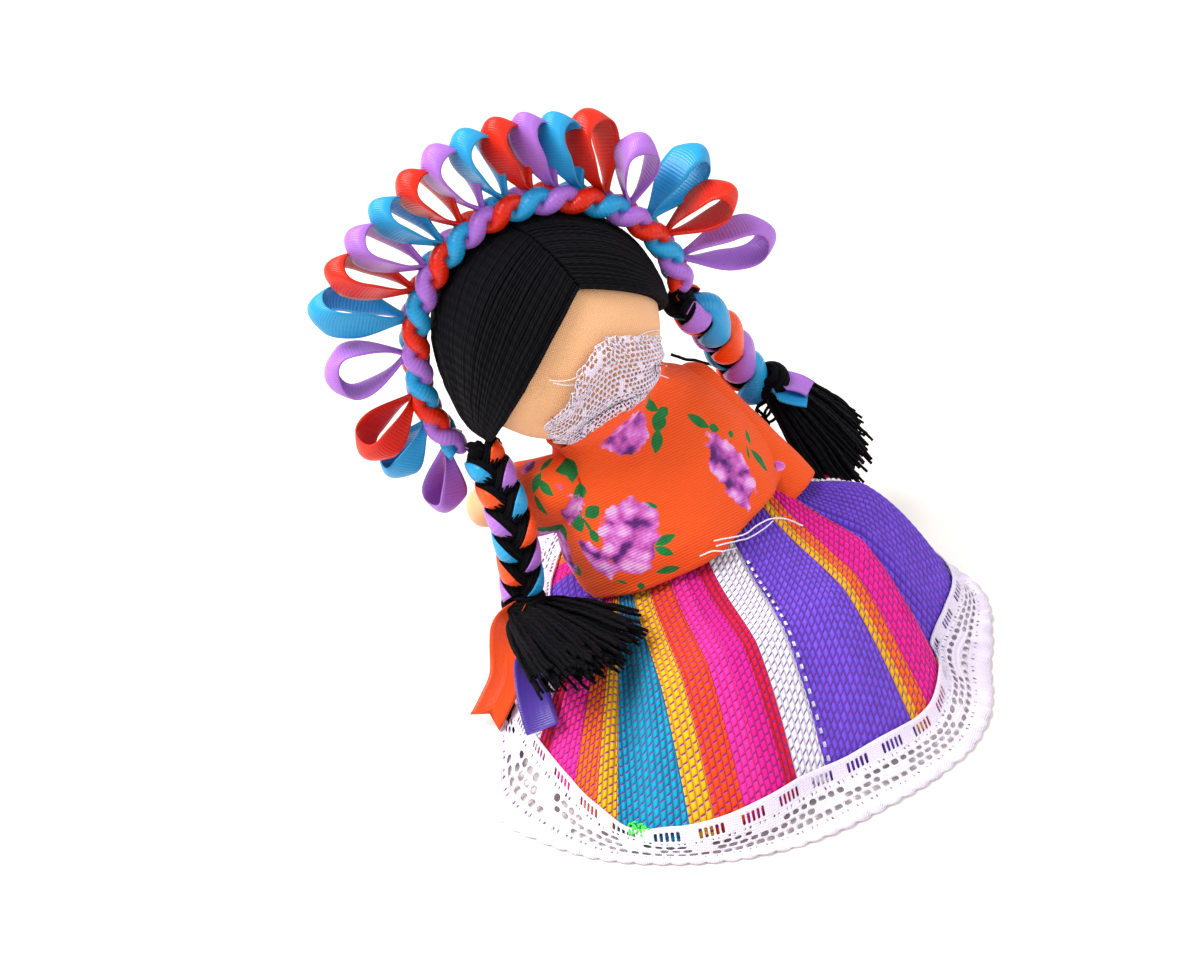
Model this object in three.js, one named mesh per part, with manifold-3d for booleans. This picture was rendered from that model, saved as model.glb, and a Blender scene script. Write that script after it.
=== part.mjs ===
// A traditional cloth doll that sits in its spread skirt and leans back, with a braided ribbon crown.
// Millimetres, +Z up. The doll faces -Y and its left hand is on +X.
// The origin is the centre of the flat seat under the hips, on the surface that the doll sits on.
import * as THREE from 'three';
import * as BufferGeometryUtils from 'three/addons/utils/BufferGeometryUtils.js';
import Module from 'manifold-3d';

const wasm = await Module();
wasm.setup();

// Clearance between pieces that lie on each other
const clearance = 0.3;

// Head, hair and face opening
const headRadius = 18.9;
const headHeightShare = 1.03;
const hairThickness = 1.5;
const headCentre = new THREE.Vector3(-15.8, 20.8, 62);
const headLeft = new THREE.Vector3(0.975, 0.034, 0.22).normalize();
const headUp = new THREE.Vector3(-0.223, 0.14, 0.965).normalize();
// The hair's edge round the face and the nape, as azimuth from the nose and height, in degrees
const hairline = [
  [0, 44], [12, 38], [26, 27], [42, 11], [60, -6], [76, -24], [104, -40], [140, -54], [180, -60],
];

// Trunk, waist and limbs
const seatHalfWidth = 9;
const trunkHalfWidth = 13.5;
const trunkHalfDepth = 8.5;
const waistCentre = new THREE.Vector3(2.9, -1.6, 20.3);
const neckBase = new THREE.Vector3(-7.8, 18.5, 45);
const neckRadius = 5.2;
const armLength = 25.5;
const armRadius = 3.6;
const handRadius = 4;
const shoulderOffset = 12.5;
const shoulderRightShare = 0.8;
const shoulderLeftShare = 0.64;
const legLength = 28;
const legRadius = 4.6;
const legSpacing = 13;
const armRightSwing = 22;
const armLeftSwing = 15;
const legSplay = 0.06;

// Blouse and its sleeves
const clothThickness = 1;
const blouseHalfWidth = 21.5;
const blouseHalfDepth = 13.8;
const blouseRise = 5.5;
const blouseHangBearing = 165;
const blouseHangBack = 4;
const blouseHangRight = 1.5;
const sleeveMouthRadius = 6.9;
const sleeveTopRadius = 5.9;
const sleeveRightLength = 13;
const sleeveLeftLength = 26.3;

// Skirt and the lace round its hem
const skirtThickness = 1.4;
const hemCentre = new THREE.Vector2(-0.3, 3.2);
const skirtPuff = 5.5;
const laceThickness = 0.6;
// The hem's radius round its centre at chosen bearings, in degrees from +X
const hemRadii = [
  [-175, 40], [-162, 45.5], [-150, 51], [-140, 56.5], [-131, 58.5], [-121, 57.5], [-112, 55],
  [-103, 52], [-92, 51.5], [-80, 53], [-70, 54], [-60, 52], [-51, 49], [-42, 51], [-31, 54],
  [-15, 49.5], [5, 44], [30, 39], [60, 35], [90, 31], [120, 26], [150, 25], [170, 33],
];
// The lace's width beyond the cloth at chosen bearings
const laceWidths = [
  [-175, 3], [-167, 7], [-160, 13], [-150, 10.5], [-140, 5.5], [-131, 3], [-121, 3.5], [-112, 5.5],
  [-103, 8], [-92, 8], [-80, 7.5], [-70, 7.5], [-60, 9], [-50, 12], [-42, 10], [-31, 6.5],
  [-15, 7.5], [5, 8], [30, 8], [60, 7], [90, 6], [120, 4], [150, 3],
];
// Folds: bearing in degrees, half width in degrees, height in millimetres
const folds = [
  [-158, 14, 2.4], [-136, 7, -3.4], [-112, 20, 3], [-84, 10, 1.6], [-62, 9, 2.6], [-50, 6, -2.6],
  [-28, 16, 2.6], [4, 14, -1.6], [32, 14, 1.8], [62, 12, -1.4], [92, 12, 1.8], [122, 12, -1.2],
  [152, 24, -4.6], [178, 14, -3],
];

// Crown: three ribbons plaited into a band, with a loop drawn out at each turn
const ribbonWidth = 6;
const crownStrandRadius = 0.85;
const crownSpread = 1.75;
const crownStartAngle = -10;
const crownEndAngle = 206;
const crownDroop = 3;
const crownDroopFrom = 165;
const crownPlaitTurns = 6.5;
const crownSteepness = 1.2;
const crownLeft = new THREE.Vector3(0.88, -0.294, 0.368).normalize();
const crownTop = new THREE.Vector3(-0.289, 0.279, 0.914).normalize();
const loopThickness = 0.6;
const loopEyeStart = 3.2;
const loopSeat = -0.2;
const loopPinch = 0.42;
const loopPinchLength = 6;
// Each loop: bearings of its tip and foot along the crown, length, how open it is, twist and forward lean
const loops = [
  [-6, 1, 16.5, 6.2, 35, 0], [12, 13, 13.5, 5.2, 30, 10], [22, 23, 14.5, 4.6, 60, -14],
  [42.5, 33, 12, 4.8, 30, 10], [57, 44, 14, 4.6, 55, -8], [66.5, 54, 14, 2.8, 45, 3],
  [73, 64, 14, 2.8, 45, 3], [80, 73.5, 14, 3.1, 45, 3], [88, 83, 14, 3.4, 44, 3],
  [96, 92.5, 14, 3.6, 42, 3], [105, 102, 13, 3.9, 42, 3], [115, 112, 13, 4, 42, 3],
  [124.5, 123, 13.5, 4.2, 42, 3], [133.5, 133, 14.5, 4.2, 42, 3], [145.2, 145, 15.5, 4.8, 50, -6],
  [163, 160, 13.5, 7.4, 15, 0], [186, 178, 13, 5.4, 30, 8], [198, 190, 12.5, 4.2, 55, -10],
  [216, 203, 12, 5, 60, 6],
];

// Side plaits, their ties, tassels and ribbon ends
const plaitStrandRadius = 1.1;
const plaitSpread = 2.3;
const rightPlaitTurns = 2;
const leftPlaitTurns = 1.4;
const plaitSteepness = 1.8;
const tieRadius = 3.6;
const tieLength = 3.4;
const tasselThickness = 5;
const tailThickness = 0.6;
const collarLaceThickness = 0.7;
// The strip of lace under the chin: azimuth from the nose, height of its middle, half its width, in degrees
const collarRows = [
  [-41, -27, 7], [-36, -26, 14], [-29, -20, 15], [-22, -13, 11], [-14, -9, 8.5], [-7, -7, 10],
  [1, -4.5, 13.5], [10, -5.5, 15.5], [20, -8, 14.5], [29, -12, 10],
];

const rightPlaitRoute = [
  [-31.5, 20.5, 43.5], [-32, 15.2, 39.6], [-32.6, 10.2, 34], [-32.6, 8, 27], [-33, 6.6, 20.5],
].map((p) => new THREE.Vector3(...p));
const rightTasselTip = new THREE.Vector3(-36.8, -13.6, 20);
const rightTasselHalfWidth = 8.6;
const leftPlaitRoute = [
  [5.6, 11.9, 63.4], [12.3, 13.1, 57.1], [18.7, 15.4, 48.6], [24.7, 17.4, 39.1], [29, 17.9, 31.6],
].map((p) => new THREE.Vector3(...p));
const leftTasselTip = new THREE.Vector3(48.2, 5.2, 17.6);
const leftTasselHalfWidth = 7;
// Free ends of ribbon that hang from the right tie
const orangeTailRoute = [
  [-39, 6.8, 18.4], [-39.8, 6.2, 13.8], [-42, 3, 8.4], [-45.5, 1.5, 4], [-47.5, 0.8, 1.6],
].map((p) => new THREE.Vector3(...p));
const purpleTailRoute = [
  [-35.2, 0.8, 12.2], [-38.5, -5, 12.3], [-40.6, -11, 11.2], [-41.4, -16, 8.8],
].map((p) => new THREE.Vector3(...p));
const tiedTailLength = 7;

// Colours
const skinCotton = 0xf9c594;
const blackYarn = 0x17161b;
const orangeCotton = 0xf4571f;
const magentaWeave = 0xd8287a;
const whiteLace = 0xf0e8f5;
const ribbonColours = { lilac: 0xae78cf, red: 0xe6391b, blue: 0x39a8d8 };
const orangeSatin = 0xf05a22;
const purpleSatin = 0x6a4bc4;

const towardsFront = new THREE.Vector3(-0.5, -0.8, 0.3);

const doll = new THREE.Group();

function addPiece(name, geometry, colour, roughness = 0.9) {
  const material = new THREE.MeshStandardMaterial({ color: colour, roughness, metalness: 0 });
  const mesh = new THREE.Mesh(geometry, material);
  mesh.name = name;
  doll.add(mesh);
}

function radians(degrees) {
  return THREE.MathUtils.degToRad(degrees);
}

function alongUnit(start, direction, distance) {
  return start.clone().addScaledVector(direction, distance);
}

// Closed solids from rings of points
function signedVolume(points, faces) {
  let six = 0;
  for (let i = 0; i < faces.length; i += 3) {
    const [a, b, c] = [points[faces[i]], points[faces[i + 1]], points[faces[i + 2]]];
    six += a.dot(b.clone().cross(c));
  }
  return six / 6;
}

function solidFromRings(rings, closedPath = false) {
  const count = rings[0].length;
  const points = rings.flat();
  const faces = [];
  const spans = closedPath ? rings.length : rings.length - 1;
  for (let i = 0; i < spans; i += 1) {
    const here = i * count;
    const next = ((i + 1) % rings.length) * count;
    for (let j = 0; j < count; j += 1) {
      const k = (j + 1) % count;
      faces.push(here + j, here + k, next + k, here + j, next + k, next + j);
    }
  }
  if (!closedPath) {
    const last = (rings.length - 1) * count;
    const middle = (ring) => ring.reduce((sum, p) => sum.add(p), new THREE.Vector3()).divideScalar(count);
    const startPoint = points.push(middle(rings[0])) - 1;
    const endPoint = points.push(middle(rings[rings.length - 1])) - 1;
    for (let j = 0; j < count; j += 1) {
      const k = (j + 1) % count;
      faces.push(startPoint, k, j);
      faces.push(endPoint, last + j, last + k);
    }
  }
  if (signedVolume(points, faces) < 0) {
    for (let i = 0; i < faces.length; i += 3) {
      [faces[i], faces[i + 1]] = [faces[i + 1], faces[i]];
    }
  }
  const geometry = new THREE.BufferGeometry();
  geometry.setAttribute('position', new THREE.Float32BufferAttribute(points.flatMap((p) => p.toArray()), 3));
  geometry.setIndex(faces);
  return geometry;
}

function ellipseRing(centre, across, deep, halfWidth, halfDepth, sides) {
  return Array.from({ length: sides }, (_, i) => {
    const angle = (2 * Math.PI * i) / sides;
    return centre.clone()
      .addScaledVector(across, halfWidth * Math.cos(angle))
      .addScaledVector(deep, halfDepth * Math.sin(angle));
  });
}

// The two directions square to a route, the first as near to the wanted one as can be
function squareTo(tangent, wanted) {
  const across = wanted.clone().addScaledVector(tangent, -wanted.dot(tangent)).normalize();
  return [across, tangent.clone().cross(across)];
}

function taperedTube(route, wanted, sizeAt, steps, sides) {
  const curve = new THREE.CatmullRomCurve3(route);
  const rings = [];
  for (let i = 0; i <= steps; i += 1) {
    const share = i / steps;
    const [across, deep] = squareTo(curve.getTangent(share), wanted);
    const [halfWidth, halfDepth] = sizeAt(share);
    rings.push(ellipseRing(curve.getPoint(share), across, deep, halfWidth, halfDepth, sides));
  }
  return solidFromRings(rings);
}

// Joins and cuts
function toManifold(geometry) {
  const bare = geometry.clone();
  bare.deleteAttribute('normal');
  bare.deleteAttribute('uv');
  const merged = BufferGeometryUtils.mergeVertices(bare, 1e-4);
  return new wasm.Manifold(new wasm.Mesh({
    numProp: 3,
    vertProperties: new Float32Array(merged.attributes.position.array),
    triVerts: new Uint32Array(merged.index.array),
  }));
}

function toGeometry(manifold) {
  const mesh = manifold.getMesh();
  const geometry = new THREE.BufferGeometry();
  geometry.setAttribute('position', new THREE.Float32BufferAttribute(mesh.vertProperties, 3));
  geometry.setIndex(Array.from(mesh.triVerts));
  return geometry;
}

function cut(geometry, ...cutters) {
  const whole = toManifold(geometry);
  return toGeometry(cutters.reduce((left, cutter) => left.subtract(toManifold(cutter)), whole));
}

// Head frame and balls
const headFront = headLeft.clone().cross(headUp).normalize();
const headSide = headUp.clone().cross(headFront).normalize();
const headBack = headFront.clone().negate();
const headFrame = new THREE.Matrix4().makeBasis(headSide, headBack, headUp).setPosition(headCentre);

function headBall(radius, widthSegments, heightSegments) {
  return new THREE.SphereGeometry(radius, widthSegments, heightSegments)
    .rotateX(Math.PI / 2)
    .scale(1, 1, headHeightShare)
    .applyMatrix4(headFrame);
}

function headDirection(azimuth, height) {
  const flat = Math.cos(radians(height));
  return new THREE.Vector3()
    .addScaledVector(headSide, flat * Math.sin(radians(azimuth)))
    .addScaledVector(headFront, flat * Math.cos(radians(azimuth)))
    .addScaledVector(headUp, Math.sin(radians(height)));
}

// A wedge from the middle of the head out through the face and the nape
function hairOpening() {
  const reach = 1.6 * headRadius;
  const mirrored = hairline.slice(1, -1).reverse().map(([azimuth, height]) => [-azimuth, height]);
  const outline = [...hairline, ...mirrored];
  const rim = outline.map((place) => alongUnit(headCentre, headDirection(...place), reach));
  const apexRing = rim.map((p) => headCentre.clone().lerp(p, 0.02));
  const cap = alongUnit(headCentre, headDirection(0, -40), reach);
  const capRing = rim.map((p) => p.clone().lerp(cap, 0.6).sub(headCentre).setLength(reach).add(headCentre));
  return solidFromRings([apexRing, rim, capRing]);
}

function halfSpace(normal, point, size) {
  const box = new THREE.BoxGeometry(size, size, size).translate(0, 0, size / 2);
  const turn = new THREE.Quaternion().setFromUnitVectors(new THREE.Vector3(0, 0, 1), normal);
  return box.applyQuaternion(turn).translate(point.x, point.y, point.z);
}

function hairHalf(side) {
  const shell = cut(
    headBall(headRadius + clearance + hairThickness, 26, 18),
    headBall(headRadius + clearance, 26, 18),
    hairOpening(),
  );
  const away = headSide.clone().multiplyScalar(-side);
  const parting = alongUnit(headCentre, away, -clearance / 2);
  return cut(shell, halfSpace(away, parting, 4 * headRadius));
}

addPiece('head', headBall(headRadius, 26, 18), skinCotton);
addPiece('hair_right', hairHalf(-1), blackYarn);
addPiece('hair_left', hairHalf(1), blackYarn);

// Trunk frame: up along the back, towards the left hand, and to the front
const trunkUp = neckBase.clone().sub(waistCentre).normalize();
const [trunkLeft, trunkBack] = squareTo(trunkUp, new THREE.Vector3(1, 0, 0));
const trunkLength = neckBase.distanceTo(waistCentre);

function trunk() {
  const stations = [
    [new THREE.Vector3(0, 0, -2), seatHalfWidth, seatHalfWidth * 0.9],
    [new THREE.Vector3(0, 0, 4), seatHalfWidth * 1.25, seatHalfWidth],
    [new THREE.Vector3(1.4, -2, 10), trunkHalfWidth * 0.88, trunkHalfDepth * 0.8],
    [alongUnit(waistCentre, trunkUp, trunkLength * 0.08), trunkHalfWidth * 0.86, trunkHalfDepth * 0.8],
    [alongUnit(waistCentre, trunkUp, trunkLength * 0.4), trunkHalfWidth, trunkHalfDepth],
    [alongUnit(waistCentre, trunkUp, trunkLength * 0.7), trunkHalfWidth * 0.94, trunkHalfDepth * 0.86],
    [alongUnit(waistCentre, trunkUp, trunkLength * 0.86), trunkHalfWidth * 0.62, trunkHalfDepth * 0.72],
    [alongUnit(waistCentre, trunkUp, trunkLength * 0.95), neckRadius, neckRadius],
    [alongUnit(waistCentre, trunkUp, trunkLength * 1.15), neckRadius, neckRadius],
  ];
  const curve = new THREE.CatmullRomCurve3(stations.map((s) => s[0]));
  const rings = stations.map(([centre, halfWidth, halfDepth], i) => {
    const tangent = i < 2 ? new THREE.Vector3(0, 0, 1) : curve.getTangent(i / (stations.length - 1));
    const [across, deep] = squareTo(tangent, trunkLeft);
    return ellipseRing(centre, across, deep, halfWidth, halfDepth, 20);
  });
  const ground = halfSpace(new THREE.Vector3(0, 0, -1), new THREE.Vector3(), 100);
  const headRoom = headBall(headRadius + clearance, 26, 18);
  return cut(solidFromRings(rings), ground, headRoom, ...sleeveRoom, ...hipRoom);
}

// Limbs: a stuffed tube with a round root at its pivot, which swells, narrows at the wrist or ankle
// and ends in a round hand or foot
function limb(pivot, direction, length, rootRadius, radius, endRadius) {
  const [across, deep] = squareTo(direction, new THREE.Vector3(1, 0, 0));
  const ringAt = (along, size) => {
    return ellipseRing(alongUnit(pivot, direction, along), across, deep, size, size, 12);
  };
  const root = [72, 45, 20].map((angle) => {
    return ringAt(-rootRadius * Math.sin(radians(angle)), rootRadius * Math.cos(radians(angle)));
  });
  const rings = (rows, size) => rows.map(([share, part]) => ringAt(share * length, size * part));
  const swell = rings([[0.16, 1.05], [0.45, 1], [0.72, 0.84]], radius);
  const tip = rings([[0.84, 0.95], [0.94, 0.9], [1, 0.45]], endRadius);
  return solidFromRings([...root, ringAt(0, rootRadius), ...swell, ...tip]);
}

function shoulder(heightShare, side) {
  const spine = alongUnit(waistCentre, trunkUp, heightShare * trunkLength);
  return alongUnit(spine, trunkLeft, side * (shoulderOffset + armRadius));
}

const shoulderRight = shoulder(shoulderRightShare, -1);
const shoulderLeft = shoulder(shoulderLeftShare, 1);
const armRightDirection = new THREE.Vector3(-0.22, 0.76, -0.61).normalize();
const armLeftDirection = new THREE.Vector3(0.372, -0.663, -0.651).normalize();
const armRightAxis = new THREE.Vector3(0.93, 0.33, 0.07).normalize();
const armLeftAxis = new THREE.Vector3(-0.46, -0.74, 0.49).normalize();

const hipHeight = clearance + legRadius * 1.05;
const [hipRight, hipLeft] = [-1, 1].map((side) => {
  return new THREE.Vector3((side * legSpacing) / 2, -seatHalfWidth, hipHeight);
});

function leg(hip) {
  const direction = new THREE.Vector3(Math.sign(hip.x) * legSplay, -1, 0).normalize();
  return limb(hip, direction, legLength, legRadius, legRadius, legRadius);
}

const hipRoom = [hipRight, hipLeft].map((hip) => {
  return new THREE.SphereGeometry(legRadius + clearance, 16, 12).translate(hip.x, hip.y, hip.z);
});

addPiece('leg_right', leg(hipRight), skinCotton);
addPiece('leg_left', leg(hipLeft), skinCotton);

// Skirt: a wide bell with folds, from a ring at the tilted waist to the hem on the floor
// A value given at chosen bearings, read between them on a smooth closed curve
function roundTable(rows) {
  const curve = new THREE.CatmullRomCurve3(
    rows.map(([bearing, value]) => new THREE.Vector3(
      value * Math.cos(radians(bearing)),
      value * Math.sin(radians(bearing)),
      0,
    )),
    true,
  );
  const samples = curve.getPoints(20 * rows.length);
  return (bearing) => {
    const ray = new THREE.Vector3(Math.cos(radians(bearing)), Math.sin(radians(bearing)), 0);
    const best = samples.reduce((a, b) => (a.dot(ray) / a.length() > b.dot(ray) / b.length() ? a : b));
    return best.length();
  };
}

const hemRadiusAt = roundTable(hemRadii);
const laceWidthAt = roundTable(laceWidths);

function foldHeightAt(bearing) {
  return folds.reduce((sum, [middle, half, height]) => {
    const away = Math.abs(((bearing - middle + 540) % 360) - 180);
    return away < half ? sum + height * Math.cos((away / half) * Math.PI / 2) ** 2 : sum;
  }, 0);
}

// The waist of the blouse rides up and hangs out at the doll's right
function hung(point, bearing, rise, hang) {
  const near = Math.max(0, Math.cos(radians(bearing - blouseHangBearing))) ** 1.5;
  return point.addScaledVector(trunkUp, rise * near)
    .addScaledVector(trunkBack, blouseHangBack * hang * near)
    .addScaledVector(trunkLeft, -blouseHangRight * hang * near);
}

function waistPoint(bearing, shrink) {
  const angle = radians(bearing);
  const point = waistCentre.clone()
    .addScaledVector(trunkLeft, (blouseHalfWidth - shrink) * Math.cos(angle))
    .addScaledVector(trunkBack, (blouseHalfDepth - shrink) * Math.sin(angle));
  return hung(point, bearing, blouseRise, 1);
}

function floorPoint(bearing, radius, height) {
  return new THREE.Vector3(
    hemCentre.x + radius * Math.cos(radians(bearing)),
    hemCentre.y + radius * Math.sin(radians(bearing)),
    height,
  );
}

// A point of the skirt's outer face, from 0 at the waist to 1 at the hem
function skirtPoint(bearing, share) {
  const top = waistPoint(bearing, 3.6);
  const foot = floorPoint(bearing, hemRadiusAt(bearing), skirtThickness);
  const point = top.clone().lerp(foot, share);
  const puff = skirtPuff * (top.z / waistCentre.z) * Math.sin(Math.PI * share);
  const fold = foldHeightAt(bearing) * Math.sin(Math.PI * share * 0.86);
  point.z += (puff + fold) * (0.2 + 0.8 * Math.min(1, share * 2));
  return point;
}

const skirtStations = 54;
const skirtRows = 8;

function skirt() {
  const rings = [];
  for (let i = 0; i < skirtStations; i += 1) {
    const bearing = (360 * i) / skirtStations - 180;
    const outer = [];
    const inner = [];
    for (let j = 0; j <= skirtRows; j += 1) {
      const share = j / skirtRows;
      const point = skirtPoint(bearing, share);
      outer.push(point);
      const inward = floorPoint(bearing, -0.35, -1).sub(floorPoint(bearing, 0, 0)).normalize();
      inner.unshift(alongUnit(point, inward, skirtThickness * (j === skirtRows ? 1.06 : 1.1)));
    }
    inner[0].z = 0;
    rings.push([...outer, ...inner]);
  }
  return solidFromRings(rings, true);
}

// Lace round the hem: it starts at the cloth's edge and lies on the floor beyond it
function hemLace() {
  const rings = [];
  const stations = 60;
  for (let i = 0; i < stations; i += 1) {
    const bearing = (360 * i) / stations - 180;
    const inner = hemRadiusAt(bearing) + clearance;
    const outer = inner + laceWidthAt(bearing);
    rings.push([
      floorPoint(bearing, inner, skirtThickness),
      floorPoint(bearing, outer, laceThickness),
      floorPoint(bearing, outer, 0),
      floorPoint(bearing, inner, 0),
    ]);
  }
  return solidFromRings(rings, true);
}

addPiece('hem_lace', hemLace(), whiteLace);

// Blouse: a loose shell from the waist to the neck, open at both ends
// Share of the trunk's length, width, depth, and how far it rides up and hangs out at the doll's right
const blouseProfile = [
  [0.03, 0.98, 0.9, blouseRise, 1], [0.2, 1, 1, 2, 1], [0.45, 0.98, 1, 0, 0.9], [0.66, 0.9, 0.94, 0, 0.5],
  [0.82, 0.76, 0.84, 0, 0], [0.95, 0.56, 0.7, 0, 0],
];

function blouseRing([share, widthShare, depthShare, rise, hang], inset) {
  const centre = alongUnit(waistCentre, trunkUp, share * trunkLength);
  const halfWidth = blouseHalfWidth * widthShare - inset;
  const halfDepth = blouseHalfDepth * depthShare - inset;
  const ring = ellipseRing(centre, trunkLeft, trunkBack, halfWidth, halfDepth, 30);
  return ring.map((point, i) => hung(point, (360 * i) / ring.length, rise, hang));
}

function shellSolid(outerRings, innerRings) {
  const sections = outerRings[0].map((_, i) => [
    ...outerRings.map((ring) => ring[i]),
    ...innerRings.map((ring) => ring[i]).reverse(),
  ]);
  return solidFromRings(sections, true);
}

function blouse(inset = 0) {
  const ringsAt = (depth) => blouseProfile.map((row) => blouseRing(row, depth + inset));
  return shellSolid(ringsAt(0), ringsAt(clothThickness));
}

function blouseOutside(grow) {
  const rings = blouseProfile.map((row) => blouseRing(row, -grow));
  const below = rings[0].map((p) => alongUnit(p, trunkUp, -grow));
  return solidFromRings([below, ...rings]);
}

// Sleeves: a round shoulder with a flared tube to the wrist, set into armholes cut in the blouse
const armRootRadius = sleeveTopRadius - clothThickness - clearance;

function arm(pivot, direction) {
  return limb(pivot, direction, armLength, armRootRadius, armRadius, handRadius);
}

function sleeveRings(pivot, direction, length, grow) {
  const [across, deep] = squareTo(direction, new THREE.Vector3(1, 0, 0));
  const ringAt = (along, radius) => {
    return ellipseRing(alongUnit(pivot, direction, along), across, deep, radius, radius, 16);
  };
  const top = sleeveTopRadius + grow;
  const cap = [80, 58, 36, 16].map((angle) => {
    return ringAt(-top * Math.sin(radians(angle)), top * Math.cos(radians(angle)));
  });
  const tube = [0, 0.5, 1].map((share) => {
    const radius = THREE.MathUtils.lerp(sleeveTopRadius, sleeveMouthRadius, share) + grow;
    return ringAt(share * length + Math.sign(grow) * clearance, radius);
  });
  return [...cap, ...tube];
}

function sleeve(pivot, direction, length) {
  const outer = solidFromRings(sleeveRings(pivot, direction, length, 0));
  return cut(outer, solidFromRings(sleeveRings(pivot, direction, length + clothThickness, -clothThickness)));
}

const sleeveRight = [shoulderRight, armRightDirection, sleeveRightLength];
const sleeveLeft = [shoulderLeft, armLeftDirection, sleeveLeftLength];
const sleeveRoom = [sleeveRight, sleeveLeft].map((place) => solidFromRings(sleeveRings(...place, clearance)));

// The armhole leaves room for the sleeve as the arm swings away from the body
function swingRoom([pivot, direction, length], axis, swing) {
  return [1, 2, 3, 4, 5, 6].map((step) => {
    const turned = direction.clone().applyAxisAngle(axis, radians((step * swing) / 6));
    return solidFromRings(sleeveRings(pivot, turned, length, clearance));
  });
}

const armholes = [
  ...sleeveRoom,
  ...swingRoom(sleeveRight, armRightAxis, armRightSwing),
  ...swingRoom(sleeveLeft, armLeftAxis, armLeftSwing),
];
const blouseClear = blouseOutside(clearance);
const hairClear = headBall(headRadius + hairThickness + 2 * clearance, 26, 18);

addPiece('torso', trunk(), skinCotton);
addPiece('arm_right', arm(shoulderRight, armRightDirection), skinCotton);
addPiece('arm_left', arm(shoulderLeft, armLeftDirection), skinCotton);
addPiece('sleeve_right', cut(sleeve(...sleeveRight), hairClear), orangeCotton);
addPiece('sleeve_left', cut(sleeve(...sleeveLeft), hairClear), orangeCotton);
addPiece('blouse', cut(blouse(), hairClear, ...armholes), orangeCotton);
addPiece('skirt', cut(skirt(), blouseClear, ...armholes), magentaWeave);

// Collar: a strip of lace across the chin, gathered in the middle and flaring to both ends
function headSurface(azimuth, height, radius) {
  const direction = headDirection(azimuth, height);
  const rise = direction.dot(headUp) * (headHeightShare - 1);
  return alongUnit(headCentre, direction.addScaledVector(headUp, rise), radius);
}

function laceCollar() {
  const inner = headRadius + 2 * clearance;
  const outer = inner + collarLaceThickness;
  const spread = [-1, -0.5, 0, 0.5, 1];
  return solidFromRings(collarRows.map(([azimuth, middle, half]) => [
    ...spread.map((share) => headSurface(azimuth, middle + share * half, outer)),
    ...spread.map((share) => headSurface(azimuth, middle - share * half, inner)),
  ]));
}

addPiece('lace_collar', cut(laceCollar(), blouseClear), whiteLace);

// Plaits: three strands that pass over each other in turn
function plaitStrand(curve, wanted, phase, turns, [spread, depth, radius], stepsPerTurn, sides) {
  const steps = Math.round(turns * stepsPerTurn);
  const centreAt = (share) => {
    const [across, deep] = squareTo(curve.getTangentAt(share), wanted);
    const angle = 2 * Math.PI * turns * share + phase;
    return curve.getPointAt(share)
      .addScaledVector(across, spread * Math.sin(angle))
      .addScaledVector(deep, depth * Math.sin(2 * angle));
  };
  const centres = Array.from({ length: steps + 1 }, (_, i) => centreAt(i / steps));
  let across = new THREE.Vector3(0.3, 0.5, 0.8);
  const rings = centres.map((centre, i) => {
    const before = centres[Math.max(0, i - 1)];
    const after = centres[Math.min(steps, i + 1)];
    let deep;
    [across, deep] = squareTo(after.clone().sub(before).normalize(), across);
    return ellipseRing(centre, across, deep, radius, radius, sides);
  });
  return solidFromRings(rings);
}

// How far a strand swings to the front and back so that it clears the two that it crosses
function plaitSwing(radius, steepness) {
  return (steepness * (2 * radius + clearance)) / Math.sqrt(3);
}

const crownSwing = plaitSwing(crownStrandRadius, crownSteepness);
const crownDepth = crownSwing + crownStrandRadius;
const crownRadius = (headRadius + clearance + hairThickness) * headHeightShare + clearance + crownDepth;
const crownFront = crownLeft.clone().cross(crownTop).normalize();

function crownDirection(angle) {
  return crownLeft.clone().multiplyScalar(Math.cos(radians(angle)))
    .addScaledVector(crownTop, Math.sin(radians(angle)));
}

function crownPoint(angle, rise = 0) {
  const past = Math.max(0, angle - crownDroopFrom) / (crownEndAngle - crownDroopFrom);
  return alongUnit(headCentre, crownDirection(angle), crownRadius + crownDroop * past + rise);
}

const crownCurve = new THREE.CatmullRomCurve3(
  Array.from({ length: 19 }, (_, i) => crownPoint(THREE.MathUtils.lerp(crownStartAngle, crownEndAngle, i / 18))),
);
Object.keys(ribbonColours).forEach((name, i) => {
  const size = [crownSpread, crownSwing, crownStrandRadius];
  const strand = plaitStrand(crownCurve, crownFront, (2 * Math.PI * i) / 3, crownPlaitTurns, size, 8, 5);
  addPiece(`crown_ribbon_${name}`, strand, ribbonColours[name], 0.35);
});

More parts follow.
